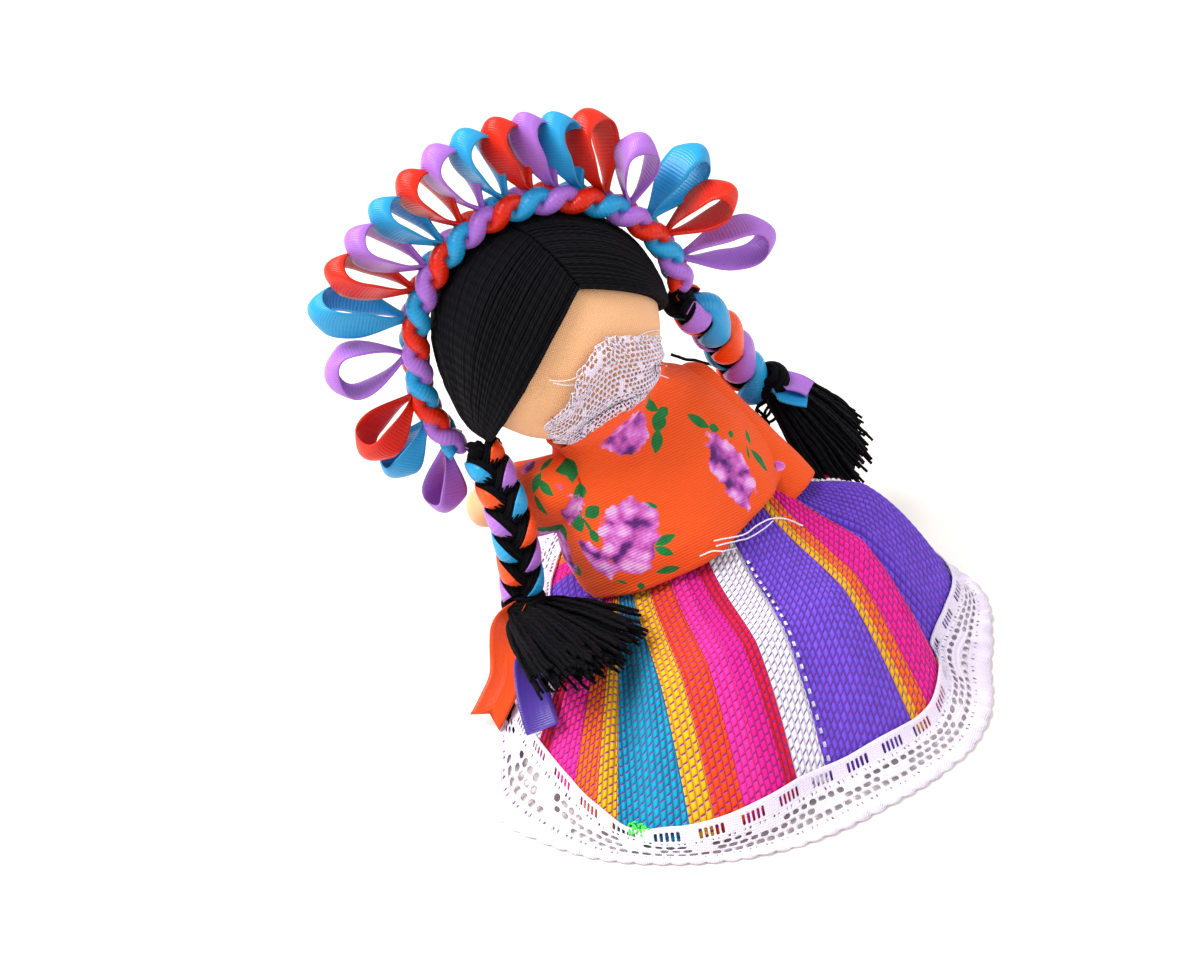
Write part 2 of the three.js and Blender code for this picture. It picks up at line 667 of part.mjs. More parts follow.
// A loop of ribbon: a drop-shaped outline with its eye, as wide as the ribbon and pinched at its foot
function ribbonLoop([tipAngle, footAngle, length, open, twist, lean]) {
  const drop = (halfBulge, start, end, points) => Array.from({ length: points }, (_, i) => {
    const turn = (2 * Math.PI * i) / points;
    const along = start + (end - start) * (1 - Math.cos(turn)) / 2;
    return new THREE.Vector2(halfBulge * Math.sin(turn) * Math.sin(turn / 2) * 1.3, along);
  });
  const outline = new THREE.Shape(drop(open / 2, 0, length, 14));
  outline.holes.push(new THREE.Path(drop(open / 2 - loopThickness, loopEyeStart, length - loopThickness, 10)));
  const geometry = new THREE.ExtrudeGeometry(outline, { depth: ribbonWidth, bevelEnabled: false, steps: 1 });
  geometry.translate(0, 0, -ribbonWidth / 2);
  const places = geometry.attributes.position;
  for (let i = 0; i < places.count; i += 1) {
    const spread = THREE.MathUtils.smoothstep(places.getY(i), 0, loopPinchLength);
    places.setZ(i, places.getZ(i) * THREE.MathUtils.lerp(loopPinch, 1, spread));
  }
  const foot = crownPoint(footAngle, crownDepth + loopSeat);
  const tip = crownPoint(tipAngle, crownDepth + loopSeat + length);
  const outward = tip.sub(foot).normalize().addScaledVector(crownFront, Math.tan(radians(lean))).normalize();
  const [eye] = squareTo(outward, crownFront);
  eye.applyAxisAngle(outward, radians(twist));
  const side = outward.clone().cross(eye);
  geometry.applyMatrix4(new THREE.Matrix4().makeBasis(side, outward, eye).setPosition(foot));
  return geometry;
}

const loopColours = ['lilac', 'red', 'blue'];
loops.forEach((loop, i) => {
  const colour = loopColours[i % 3];
  const number = String(i + 1).padStart(2, '0');
  addPiece(`ribbon_loop_${number}`, ribbonLoop(loop), ribbonColours[colour], 0.35);
});

// A free end of ribbon along a route, with its width as near to the wanted way as can be
function ribbonTail(route, widthWay) {
  const curve = new THREE.CatmullRomCurve3(route);
  const steps = 3 * (route.length - 1);
  return solidFromRings(Array.from({ length: steps + 1 }, (_, i) => {
    const [across, deep] = squareTo(curve.getTangent(i / steps), widthWay);
    const corners = [[1, 1], [-1, 1], [-1, -1], [1, -1]];
    return corners.map(([wide, thick]) => curve.getPoint(i / steps)
      .addScaledVector(across, (wide * ribbonWidth) / 2)
      .addScaledVector(deep, (thick * tailThickness) / 2));
  }));
}

// Side plaits with their ties, tassels and ribbon ends
function sidePlait(name, route, turns, tasselTip, tasselHalfWidth) {
  const curve = new THREE.CatmullRomCurve3(route);
  const across = squareTo(curve.getTangent(0.5), towardsFront)[0];
  const swing = plaitSwing(plaitStrandRadius, plaitSteepness);
  for (let i = 0; i < 3; i += 1) {
    const size = [plaitSpread, swing, plaitStrandRadius];
    const strand = plaitStrand(curve, across, (2 * Math.PI * i) / 3, turns, size, 10, 6);
    addPiece(`${name}_strand_${i + 1}`, strand, blackYarn);
  }
  const end = route[route.length - 1];
  const down = curve.getTangent(1);
  const tieStart = alongUnit(end, down, plaitStrandRadius * 0.5 + clearance);
  const tieEnd = alongUnit(tieStart, down, tieLength);
  const tieSize = (share) => {
    const size = tieRadius * (0.8 + 0.2 * Math.sin(Math.PI * share));
    return [size, size];
  };
  const tieRoute = [tieStart, tieStart.clone().lerp(tieEnd, 0.5), tieEnd];
  addPiece(`${name}_tie`, taperedTube(tieRoute, across, tieSize, 4, 10), blackYarn);
  const tasselWay = tasselTip.clone().sub(tieEnd).normalize();
  const tasselStart = alongUnit(tieEnd, tasselWay, clearance);
  const tasselSize = (share) => [
    THREE.MathUtils.lerp(tieRadius * 0.6, tasselHalfWidth, share ** 0.8),
    THREE.MathUtils.lerp(tieRadius * 0.6, tasselThickness / 2, share),
  ];
  const flat = tasselWay.clone().cross(new THREE.Vector3(0, 0, 1)).normalize();
  const middle = tasselStart.clone().lerp(tasselTip, 0.5);
  const tassel = taperedTube([tasselStart, middle, tasselTip], flat, tasselSize, 5, 12);
  const tieClear = taperedTube(
    [alongUnit(tieStart, down, -clearance), tieRoute[1], alongUnit(tieEnd, down, clearance)],
    across,
    (share) => tieSize(share).map((size) => size + clearance),
    4,
    10,
  );
  addPiece(`${name}_tassel`, cut(tassel, tieClear), blackYarn);
  return { tieEnd, tasselWay, flat };
}

sidePlait('plait_right', rightPlaitRoute, rightPlaitTurns, rightTasselTip, rightTasselHalfWidth);
addPiece('ribbon_tail_orange', ribbonTail(orangeTailRoute, new THREE.Vector3(0.8, -0.6, 0)), orangeSatin, 0.35);
addPiece('ribbon_tail_purple', ribbonTail(purpleTailRoute, new THREE.Vector3(0.5, 0, 0.6)), purpleSatin, 0.35);

// Two ends tucked under the left tie lie side by side on its tassel
const leftTie = sidePlait('plait_left', leftPlaitRoute, leftPlaitTurns, leftTasselTip, leftTasselHalfWidth);
const onTassel = leftTie.flat.clone().cross(leftTie.tasselWay).normalize();
const tasselLift = tasselThickness / 2 + clearance + tailThickness;
['blue', 'lilac'].forEach((name, i) => {
  const sideways = (i - 0.5) * (ribbonWidth + 2 * clearance);
  const route = [0.22, 0.6, 1].map((share) => alongUnit(
    alongUnit(alongUnit(leftTie.tieEnd, leftTie.tasselWay, share * tiedTailLength), leftTie.flat, sideways),
    onTassel,
    Math.sign(onTassel.z) * tasselLift,
  ));
  addPiece(`ribbon_tail_${name}`, ribbonTail(route, leftTie.flat), ribbonColours[name], 0.35);
});

export default doll;
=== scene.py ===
"""A sitting cloth doll with a ribbon crown, a rose-print blouse and a hand-woven striped skirt."""
import math
import random

import bpy
import numpy as np
from mathutils import Matrix, Vector, noise
from mathutils.bvhtree import BVHTree


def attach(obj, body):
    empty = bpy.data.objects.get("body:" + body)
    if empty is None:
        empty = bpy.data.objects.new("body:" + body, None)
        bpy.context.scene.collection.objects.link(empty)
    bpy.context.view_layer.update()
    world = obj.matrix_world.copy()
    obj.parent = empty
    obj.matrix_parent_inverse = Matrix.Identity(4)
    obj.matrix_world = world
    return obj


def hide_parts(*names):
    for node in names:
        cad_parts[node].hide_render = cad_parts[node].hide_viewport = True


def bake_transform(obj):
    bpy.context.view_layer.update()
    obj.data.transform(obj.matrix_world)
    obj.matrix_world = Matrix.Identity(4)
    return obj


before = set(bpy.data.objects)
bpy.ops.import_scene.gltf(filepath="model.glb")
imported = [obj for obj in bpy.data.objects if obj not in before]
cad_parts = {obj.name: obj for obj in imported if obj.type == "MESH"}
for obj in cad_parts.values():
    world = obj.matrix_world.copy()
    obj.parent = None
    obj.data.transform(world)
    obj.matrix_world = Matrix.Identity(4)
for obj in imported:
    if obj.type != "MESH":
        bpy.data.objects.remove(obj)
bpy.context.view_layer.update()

bl_info = {
    "name": "Rag Doll",
    "version": (1, 0, 0),
    "blender": (4, 5, 0),
    "location": "3D View > Sidebar > Rag Doll",
    "description": "Makes a sitting cloth doll with a ribbon crown, a printed blouse and a woven skirt",
    "category": "Object",
}

# All shapes are written in millimetres and made in metres
MM = 0.001

# Head, hair and face, as in the part's source
HEAD_RADIUS = 18.9
HEAD_HEIGHT_SHARE = 1.03
HEAD_PUCKER = 0.18
HEAD_CENTRE = Vector((-15.8, 20.8, 62))
HEAD_LEFT = Vector((0.975, 0.034, 0.22)).normalized()
HEAD_UP = Vector((-0.223, 0.14, 0.965)).normalized()
HEAD_FRONT = HEAD_LEFT.cross(HEAD_UP).normalized()
HEAD_SIDE = HEAD_UP.cross(HEAD_FRONT).normalized()
HAIR_OUTSIDE = 20.5
HAIR_POINTS = 26
HAIR_COLUMNS = 60
HAIR_LAYER_INSET = 0.55
HAIR_OFF_SKIN = 0.25
PARTING_HALF_GAP = 0.012
PARTING_FRONT = 44
PARTING_NAPE = 238
# Share of a yarn's way from which it rises off the head
HAIR_RISES_FROM = 0.4
# Azimuth from the nose and height, in degrees, of the point where the yarns gather into the plait,
# and of the middles of the front, side and nape yarns, then how far they rise off the head at the plait
HAIR_WAYS = {
    "hair_right": ((-97, -36), (-58, -4), (-96, 14), (-140, -46), 1.6),
    "hair_left": ((67, -12), (40, 14), (78, 30), (138, -44), 0),
}

# Layers of yarns: how far each lies outside the hair's radius, and its number of yarns
HAIR_LAYERS = ((-0.4, 150), (-0.1, 140))

# Trunk, waist and limbs
WAIST_CENTRE = Vector((2.9, -1.6, 20.3))
NECK_BASE = Vector((-7.8, 18.5, 45))
TRUNK_UP = (NECK_BASE - WAIST_CENTRE).normalized()
TRUNK_LEFT = (Vector((1, 0, 0)) - TRUNK_UP * TRUNK_UP.x).normalized()
TRUNK_BACK = TRUNK_UP.cross(TRUNK_LEFT)
TRUNK_LENGTH = (NECK_BASE - WAIST_CENTRE).length
SHOULDER_RIGHT = Vector((-20.92, 11.24, 36.08))
SHOULDER_LEFT = Vector((11.31, 14.50, 40.09))
ARM_RIGHT_WAY = Vector((-0.22, 0.76, -0.61)).normalized()
ARM_LEFT_WAY = Vector((0.372, -0.663, -0.651)).normalized()
ARM_LENGTH = 25.5
LEG_LENGTH = 28
# Radii at the root, along the limb and at its end
ARM_RADII = (4.4, 3.6, 4)
LEG_RADII = (4.4, 4.5, 4.5)
# Seat: middle, half width and half depth; then the trunk: share of its length, half width and half depth
SEAT_STATIONS = (((0, 0, 0.4), 8, 7.5), ((0, 0, 4), 11, 8.8), ((1.4, -2, 10), 11.6, 6.7))
TRUNK_STATIONS = ((0.08, 11.4, 6.7), (0.4, 13.2, 8.3), (0.7, 12.4, 7.2), (0.86, 8.2, 6), (0.95, 5.1, 5.1))
HIPS = {"leg_right": Vector((-6.5, -9, 5.13)), "leg_left": Vector((6.5, -9, 5.13))}

# Blouse and sleeves
BLOUSE_HALF_WIDTH = 21.5
BLOUSE_HALF_DEPTH = 13.8
BLOUSE_OFF_HEAD = 1.2
BLOUSE_CREASE = 0.8
BLOUSE_TUCK = 0.3
BLOUSE_TUCKS = 9
BLOUSE_COLUMNS = 120
COTTON_THICKNESS = 0.6
SLEEVE_COLUMNS = 36
SLEEVE_ROWS = 33
SLEEVE_FOLD = 0.35
SLEEVE_RIGHT_HANG = 3.2
SLEEVE_TOP_RADIUS = 5.7
SLEEVE_MOUTH_RADIUS = 6.2
SLEEVE_RIGHT_LENGTH = 13
SLEEVE_LEFT_LENGTH = 26.3
# The blouse is pulled up and back round one bearing
BLOUSE_RISE = 5.5
BLOUSE_HANG_BEARING = 165
BLOUSE_HANG_BACK = 4
BLOUSE_HANG_RIGHT = 1.5
# Share of the trunk's length, width and depth as shares of the blouse's, rise and share of the pull
BLOUSE_PROFILE = ((0.03, 0.98, 0.9, BLOUSE_RISE, 1), (0.2, 1, 1, 2, 1), (0.45, 0.98, 1, 0, 0.9),
                  (0.66, 0.9, 0.94, 0, 0.5), (0.82, 0.76, 0.84, 0, 0), (0.95, 0.56, 0.7, 0, 0))
BLOUSE_FIRST_SHARE = 0.02

# Bearings round the trunk, with the pixels of the photograph where the neckline lies against the chin
NECKLINE = ((-180, 550, 446), (-165, 561, 450), (-150, 573, 441), (-135, 584, 426), (-120, 604, 412),
            (-105, 628, 400), (-90, 647, 393), (-75, 656, 384), (-60, 657, 371), (-45, 652, 362),
            (-30, 647, 354))
# Share of the trunk's length from which the blouse is drawn towards the neckline
NECKLINE_SHARE = 0.72

# Skirt and hem lace: bearing round the hem's centre in degrees from +X, then a size
HEM_CENTRE = Vector((-0.3, 3.2, 0))
HEM_HEIGHT = 1.4
SKIRT_PUFF = 5.5
SKIRT_ROWS = 96
SKIRT_COLUMN = 0.42
SKIRT_THICKNESS = 1.2
SKIRT_HEM_THICKNESS = 1
WAIST_INSET = 3.6
HEM_RADII = ((-175, 40), (-162, 45.5), (-150, 51), (-140, 56.5), (-131, 58.5), (-121, 57.5), (-112, 55),
             (-103, 52), (-92, 51.5), (-80, 53), (-70, 54), (-60, 52), (-51, 49), (-42, 51), (-31, 54),
             (-15, 49.5), (5, 44), (30, 39), (60, 35), (90, 31), (120, 26), (150, 25), (170, 33))
LACE_WIDTHS = ((-175, 3), (-167, 7), (-160, 13), (-150, 10.5), (-140, 5.5), (-131, 3), (-121, 3.5),
               (-112, 5.5), (-103, 8), (-92, 8), (-80, 7.5), (-70, 7.5), (-60, 8.5), (-50, 9.5), (-42, 7.5),
               (-31, 4.5), (-22, 2.5), (-10, 2.2), (5, 3), (22, 6), (40, 7), (65, 6.5), (90, 6), (120, 4),
               (150, 3))
# Folds: bearing, half width in degrees, height
FOLDS = ((-158, 14, 2.4), (-136, 7, -3.4), (-112, 20, 3), (-84, 10, 1.6), (-62, 9, 2.6), (-50, 6, -2.6),
         (-28, 16, 2.6), (4, 14, -1.6), (32, 14, 1.8), (62, 12, -1.4), (92, 12, 1.8), (122, 12, -1.2),
         (152, 24, -4.6), (178, 14, -3))
# Where the cloth at a hem bearing is gathered at the waist
WAIST_BEARINGS = ((-180, -205), (-150, -184), (-134, -170), (-126, -164), (-122, -152), (-116.5, -138),
                  (-108, -123), (-105, -115), (-98, -95), (-76, -64), (-74.5, -58), (-71, -50), (-60, -34),
                  (-52, -30), (-20, -14), (20, 8), (60, 45), (100, 85), (140, 125), (180, 155))
# Each stripe's last hem bearing and its colour
STRIPES = ((-168, "purple"), (-161, "white"), (-157, "crimson"), (-149, "pink"), (-143, "orange"),
           (-139, "gold"), (-126, "teal"), (-122, "gold"),
           (-116.5, "vermilion"), (-112, "pink"), (-108, "magenta"), (-105, "crimson"), (-98, "white"),
           (-76, "purple"), (-74.5, "gold"), (-71, "orange"), (-60, "magenta"), (-57.5, "vermilion"),
           (-20, "purple"), (-13, "white"), (-6, "crimson"), (2, "magenta"), (10, "pink"), (16, "vermilion"),
           (21, "gold"), (30, "teal"), (36, "gold"), (44, "vermilion"), (52, "pink"), (60, "magenta"),
           (66, "crimson"), (74, "white"), (108, "purple"), (112, "gold"), (117, "orange"), (130, "magenta"),
           (165, "purple"), (181, "purple"))
STRIPE_DYES = {"purple": "6E4CD0", "white": "F2EEFA", "crimson": "CE0F38", "pink": "FF2E98",
               "orange": "F8661C", "gold": "EBA812", "teal": "0C8FB4", "vermilion": "F2431A",
               "magenta": "E81A8C"}
SILVER_BEARING = -97
TUFT_BEARING = -135
FLOAT_WIDTH = 1.15
FLOAT_LENGTH = 1.5
FLOAT_LEAN = 0.3
LACE_CELL = 0.95
LACE_SEWN_SHARE = 0.26
LACE_OVER_SKIRT = 0.55
LACE_OUT_FROM_SKIRT = 0.4
LACE_RIPPLE = 0.45
LACE_PICOT = 0.4
# Rows of cells across the hem lace, in shares of its width, with each row's cell length and shift
LACE_ROWS = (0, 0.07, LACE_SEWN_SHARE, 0.36, 0.47, 0.58, 0.7, 0.82, 1.0)
LACE_SPANS = ((1, 0), (1, 0), (1, 0), (2, 0), (2, 1), (2, 0), (1, 0.5), (1, 0))
SILVER_DOTS = 21
SILVER_RADIUS = 0.32
TUFT_ENDS = 34
TUFT_RADIUS = 0.17

# Crown plait and its drawn-out loops
RIBBON_WIDTH = 6
CROWN_RADIUS = 23.86
CROWN_SWING = 1.25
CROWN_SPREAD = 1.6
CROWN_DEPTH = 2.236
CROWN_START = -10
CROWN_END = 206
CROWN_DROOP = 3
CROWN_DROOP_FROM = 165
CROWN_TURNS = 6.5
CROWN_STEPS = 190
# Half width and half depth of the crown's strands, and the share by which they swell between crossings
CROWN_STRAND = (1.45, 1.8)
CROWN_SWELL = 0.12
CROWN_LEFT = Vector((0.88, -0.294, 0.368)).normalized()
CROWN_TOP = Vector((-0.289, 0.279, 0.914)).normalized()
CROWN_FRONT = CROWN_LEFT.cross(CROWN_TOP).normalized()
RIBBON_THICKNESS = 0.32
RIBBON_RIB = 0.42
RIBBON_COLUMNS = 8
LOOP_FOOT = CROWN_DEPTH - 0.4
LOOP_NECK_SHARE = 0.24
LOOP_TIP_ROUNDING = 2.1
LOOP_STEPS = 60
TAIL_STEPS = 40
# Bearings of tip and foot along the crown, length, how open it is, twist and forward lean
LOOPS = ((-6, 1, 17, 7.4, 15, 0), (12, 13, 14, 5.8, 8, 10), (22, 23, 15, 6, 30, -14),
         (42.5, 33, 13, 6, 8, 10), (57, 44, 14.5, 7.4, 38, -8), (66.5, 54, 14.5, 5.4, 42, 3),
         (73, 64, 14.5, 4.4, 42, 3), (80, 73.5, 14.5, 5.4, 42, 3), (88, 83, 14.5, 6, 30, 3),
         (96, 92.5, 14.5, 6.2, 26, 3), (105, 102, 13.8, 5.8, 34, 3), (115, 112, 14, 5.2, 44, 3),
         (124.5, 123, 14.5, 6.2, 42, 3), (133.5, 133, 15.5, 5.8, 48, 3), (145.2, 145, 16.3, 6.6, 66, -6),
         (163, 160, 14, 8.4, 0, 0), (186, 178, 13.5, 6.6, 66, 8), (198, 190, 12.5, 5, 70, -10),
         (216, 203, 12, 5.4, 60, 6))
LOOP_COLOURS = ("lilac", "red", "blue")

# Side plaits, ties, tassels and ribbon ends; the blue and lilac ends in pixels of the photograph
PLAIT_STEPS = 120
PLAIT_SPREAD = 2.1
PLAIT_SWING = 1.5
PLAIT_ROOT = 0.8
PLAIT_RIBBON_BROADENING = 1.25
RIGHT_PLAIT_TURNS = 2
LEFT_PLAIT_TURNS = 1.6
LEFT_PLAIT_TURNED = 65
# Each plait's ribbon: half its reach round the strand in radians, how far out it lies, its dip at crossings
RIGHT_PLAIT_RIBBON = (0.7, 1.92, 0.75)
LEFT_PLAIT_RIBBON = (1.4, 2.5, 0.5)
PLAIT_YARN_RADIUS = 0.4
TASSEL_YARNS = 260
TASSEL_POINTS = 16
# Half width and half thickness of a tassel at its root, and how much its thickness grows
TASSEL_ROOT_HALF_WIDTH = 1.9
TASSEL_ROOT_HALF_DEPTH = 1.7
TASSEL_DEPTH_GROWTH = 1.3
TIE_LENGTH = 3.4
TIE_WRAPS = 26
WRAP_RADIUS = 0.36
# Each tie's radius, and how far past the end of the plait, right, up and towards the camera its middle is
RIGHT_TIE = (3.8, 2, 0, 0, 0)
LEFT_TIE = (3.6, 0, 3.4, 1.3, 3.4)
RIGHT_PLAIT = ((-31.5, 20.5, 43.5), (-32, 15.2, 39.6), (-32.6, 10.2, 34), (-32.6, 8, 27), (-33, 6.6, 20.5))
LEFT_PLAIT = ((5.6, 11.9, 63.4), (12.3, 13.1, 57.1), (18.7, 15.4, 48.6), (24.7, 17.4, 39.1), (29, 17.9, 31.6))
RIGHT_TASSEL_TIP = Vector((-31.8, -16.2, 20.4))
LEFT_TASSEL_TIP = Vector((42.3, 1.6, 15.8))
RIGHT_TASSEL_HALF_WIDTH = 13
LEFT_TASSEL_HALF_WIDTH = 15.5
ORANGE_TAIL = ((-33.2, 3.8, 19), (-35.6, 4.8, 19), (-37.2, 5.2, 17.2), (-38.2, 4.6, 12.8), (-40.4, 1.8, 7.8),
               (-44.2, 0.4, 3.8), (-46.6, -0.2, 1.6))
BLUE_TAIL = ((772, 389), (783, 394), (795, 397), (808, 399))
LILAC_TAIL = ((778, 381), (789, 382), (800, 385), (810, 390))
PURPLE_TAIL = ((-35.8, 1.5, 12), (-39.5, -4.5, 12), (-42, -9.5, 10.8), (-43.2, -13.5, 8.6))

# Lace strip under the chin: azimuth from the nose, height of its middle and half its width, in degrees
COLLAR_ROWS = ((-47, -27, 9), (-40, -28, 16), (-31, -22, 16), (-23, -13.5, 18), (-16, -8.5, 20),
               (-8, -5.5, 21.5), (-2, -6, 23), (10, -12, 23), (22, -18, 21), (33, -21, 15))
COLLAR_CELLS = 30
COLLAR_LACE_ROWS = 16
COLLAR_OFF_HEAD = 1.1
COLLAR_OFF_CLOTH = 0.7

# Loose threads and yarns in pixels of the photograph
WAIST_THREADS = (((714, 541), (730, 538), (745, 534), (757, 526), (770, 519), (786, 519), (803, 526)),
                 ((716, 546), (733, 542), (748, 538), (762, 530), (773, 521)),
                 ((700, 556), (712, 551), (724, 551), (737, 548)))
CHIN_THREADS = (((549, 380), (560, 381), (572, 379), (586, 372)), ((553, 383), (566, 385), (588, 384)),
                ((598, 352), (606, 341), (616, 336)), ((640, 372), (656, 374), (668, 378)),
                ((645, 366), (657, 364), (667, 366)), ((597, 345), (611, 339), (628, 336)),
                ((636, 338), (648, 332), (660, 330)), ((584, 366), (577, 373), (580, 384)),
                ((548, 424), (556, 417), (570, 409)), ((646, 392), (654, 396), (660, 397)),
                ((594, 352), (604, 347), (622, 343)))
HEM_YARN_RADIUS = 0.4
HEM_YARN = ((513, 703), (509, 718), (514, 733), (525, 744), (536, 752))
# Loose yarns of the left tie: radius, how far past the plait's end they lie and how far nearer the camera
TIE_YARN_RADIUS = 0.32
TIE_YARNS_PAST = 2.4
TIE_YARNS_NEARER = 4
TIE_YARNS = (((764, 384), (744, 378), (718, 366), (694, 361), (670, 355)),
             ((768, 394), (756, 388), (748, 393), (750, 402), (760, 402), (763, 395)),
             ((770, 398), (760, 402), (756, 411), (763, 418), (770, 411), (767, 403)),
             ((766, 390), (757, 382), (749, 385), (751, 395)),
             ((772, 402), (764, 412), (768, 422), (776, 418), (773, 408)),
             ((768, 400), (757, 407), (762, 414), (769, 424), (764, 429)))

# Ribs of the blouse's cotton twill
TWILL_PITCH = 0.5
TWILL_SLANT = math.radians(25)

# Camera: its place in metres and in millimetres, with the axes of its frame
CAMERA_PLACE = Vector((-0.1808, -0.2132, 0.2562))
CAMERA_EYE = CAMERA_PLACE / MM
CAMERA_RIGHT = Vector((0.8, -0.6, 0))
CAMERA_UP = Vector((0.3735, 0.498, 0.783))
CAMERA_LENS = 60
CAMERA_SENSOR = 36
PHOTO_WIDTH = 1200
PHOTO_HEIGHT = 959

# Stage, in metres and watts: each light's name, place, size and power
FLOOR_HALF = 1.5
ROOM_LIGHT = 0.62
LIGHTS_AIM = Vector((0, 0, 0.04))
LIGHTS = (("Window", (-0.5, 0.35, 0.75), 0.6, 13.0), ("Fill", (0.6, -0.5, 0.6), 0.8, 3.2))

# Printed roses in pixels of the photograph: middle, half width, half height, turn in degrees
ROSES = ((626, 430, 24, 29, -8), (630, 538, 29, 40, -6), (731, 470, 42, 19, -50), (597, 560, 26, 12, -55),
         (529, 466, 9, 10, 0), (779, 466, 7, 5, 0))
# Printed leaves in pixels: middle, half length, half width, turn in degrees of the long way
LEAVES = ((649, 404, 14, 6, -18), (659, 421, 12, 8, 70), (657, 441, 13, 6, 80), (663, 412, 8, 6, 40),
          (698, 421, 14, 6, -18), (714, 428, 6, 5, 0), (731, 434, 4, 4, 0), (748, 437, 9, 4, 75),
          (748, 452, 8, 2, 80), (760, 460, 16, 6, -16), (579, 493, 11, 6, 85), (577, 515, 8, 5, -35),
          (592, 512, 10, 7, 40), (580, 508, 12, 2, 80), (594, 536, 8, 5, -60), (588, 526, 9, 2, -60),
          (647, 508, 11, 6, 8), (665, 540, 12, 5, 28), (664, 551, 11, 5, -24), (668, 570, 13, 5, 10),
          (546, 464, 10, 4, 60), (536, 482, 12, 6, 55), (545, 488, 12, 5, -42), (540, 506, 13, 4, -75),
          (622, 582, 7, 2, -20), (641, 586, 4, 4, 0))
# More of the print where the photograph doesn't look: bearing round the trunk and share of its length
HIDDEN_ROSES = ((20, 0.25), (70, 0.6), (110, 0.2), (160, 0.5), (35, 0.75), (-175, 0.75))


def linear(code):
    """Turn an sRGB hex colour into linear RGBA"""
    parts = [int(code[i:i + 2], 16) / 255 for i in (0, 2, 4)]
    return tuple(c / 12.92 if c <= 0.04045 else ((c + 0.055) / 1.055) ** 2.4 for c in parts) + (1.0,)


def colour_setting(label, words, code):
    return bpy.props.FloatVectorProperty(
        name=label, description=words, subtype="COLOR", size=4, min=0, max=1, default=linear(code))


def length_setting(label, words, millimetres):
    return bpy.props.FloatProperty(
        name=label, description=words, default=millimetres * MM, min=0, precision=5, unit="LENGTH",
        subtype="DISTANCE")


class DollColours(bpy.types.PropertyGroup):
    """Colours of the doll's cloths, yarns and ribbons"""
    skin: colour_setting("Skin", "Plain cotton of the head and limbs", "FABE8A")
    yarn: colour_setting("Yarn", "Hair yarn", "09080C")
    blouse: colour_setting("Blouse", "Ground of the printed cotton", "FB5A1C")
    rose: colour_setting("Rose", "Printed petals", "C95BB8")
    rose_shade: colour_setting("Rose shade", "Shaded petals", "8A3C96")
    leaf: colour_setting("Leaf", "Printed leaves", "1F7A3A")
    lace: colour_setting("Lace", "Hem and collar lace", "F1E4F7")
    lilac: colour_setting("Lilac ribbon", "Lilac satin", "A86CCB")
    red: colour_setting("Red ribbon", "Red satin", "DA260B")
    blue: colour_setting("Blue ribbon", "Blue satin", "2598CE")
    orange: colour_setting("Orange ribbon", "Orange satin of the tied end", "EE4E18")
    purple: colour_setting("Purple ribbon", "Purple satin of the tied end", "4B3590")


class DollSizes(bpy.types.PropertyGroup):
    """Sizes of the threads and yarns"""
    hair_yarn: length_setting("Hair yarn radius", "Half the thickness of a hair yarn", 0.3)
    tassel_yarn: length_setting("Tassel yarn radius", "Half the thickness of a tassel yarn", 0.3)
    thread: length_setting("Thread radius", "Half the thickness of a loose thread", 0.14)
    relief: length_setting("Weave relief", "How far a yarn float stands up from the skirt", 0.34)
    lace_thread: length_setting("Lace thickness", "Thickness of the lace", 0.28)


# Shared tools

MATH = "ShaderNodeMath"


def add_node(tree, kind, settings=None, links=None):
    """Add a node, set its settings, and set or link its inputs; a node as a source means its first output"""
    made = tree.nodes.new(kind)
    for key, value in (settings or {}).items():
        setattr(made, key, value)
    for socket, source in (links or {}).items():
        if isinstance(source, bpy.types.Node):
            source = source.outputs[0]
        if isinstance(source, bpy.types.NodeSocket):
            tree.links.new(source, made.inputs[socket])
        else:
            made.inputs[socket].default_value = source
    return made


def start_finish(name, roughness, sockets):
    """A new material with its shader, and the values that are the same all over it"""
    finish = bpy.data.materials.new(name)
    finish.use_nodes = True
    shader = finish.node_tree.nodes["Principled BSDF"]
    shader.inputs["Roughness"].default_value = roughness
    for socket, value in sockets.items():
        shader.inputs[socket].default_value = value
    return finish, finish.node_tree


def end_finish(finish, colour, height, depth):
    """Link a finish's colour, and raise its surface by a height pattern"""
    tree = finish.node_tree
    shader = tree.nodes["Principled BSDF"]
    bump = add_node(tree, "ShaderNodeBump", {}, {"Height": height, "Distance": depth * MM})
    tree.links.new(colour, shader.inputs["Base Color"])
    tree.links.new(bump.outputs["Normal"], shader.inputs["Normal"])
    return finish


def fine_weave(tree, vector, spacing, turn):
    """Two crossed sets of fine threads"""
    turned = add_node(tree, "ShaderNodeMapping", {}, {"Vector": vector, "Rotation": turn})
    waves = []
    for way in ("X", "Z"):
        waves.append(add_node(tree, "ShaderNodeTexWave", {"bands_direction": way}, {
            "Vector": turned, "Scale": 2 * math.pi / (20 * spacing * MM), "Distortion": 0.6}))
    return add_node(tree, MATH, {"operation": "MAXIMUM"},
                    {0: waves[0].outputs["Fac"], 1: waves[1].outputs["Fac"]})


def tint(tree, colour, factor, low, high):
    """Vary a colour's brightness by a pattern"""
    value = add_node(tree, "ShaderNodeMapRange", {}, {"Value": factor, "To Min": low, "To Max": high})
    return add_node(tree, "ShaderNodeHueSaturation", {}, {"Value": value, "Color": colour})


def finish_named(name, make):
    found = bpy.data.materials.get(name)
    return found or make(name)


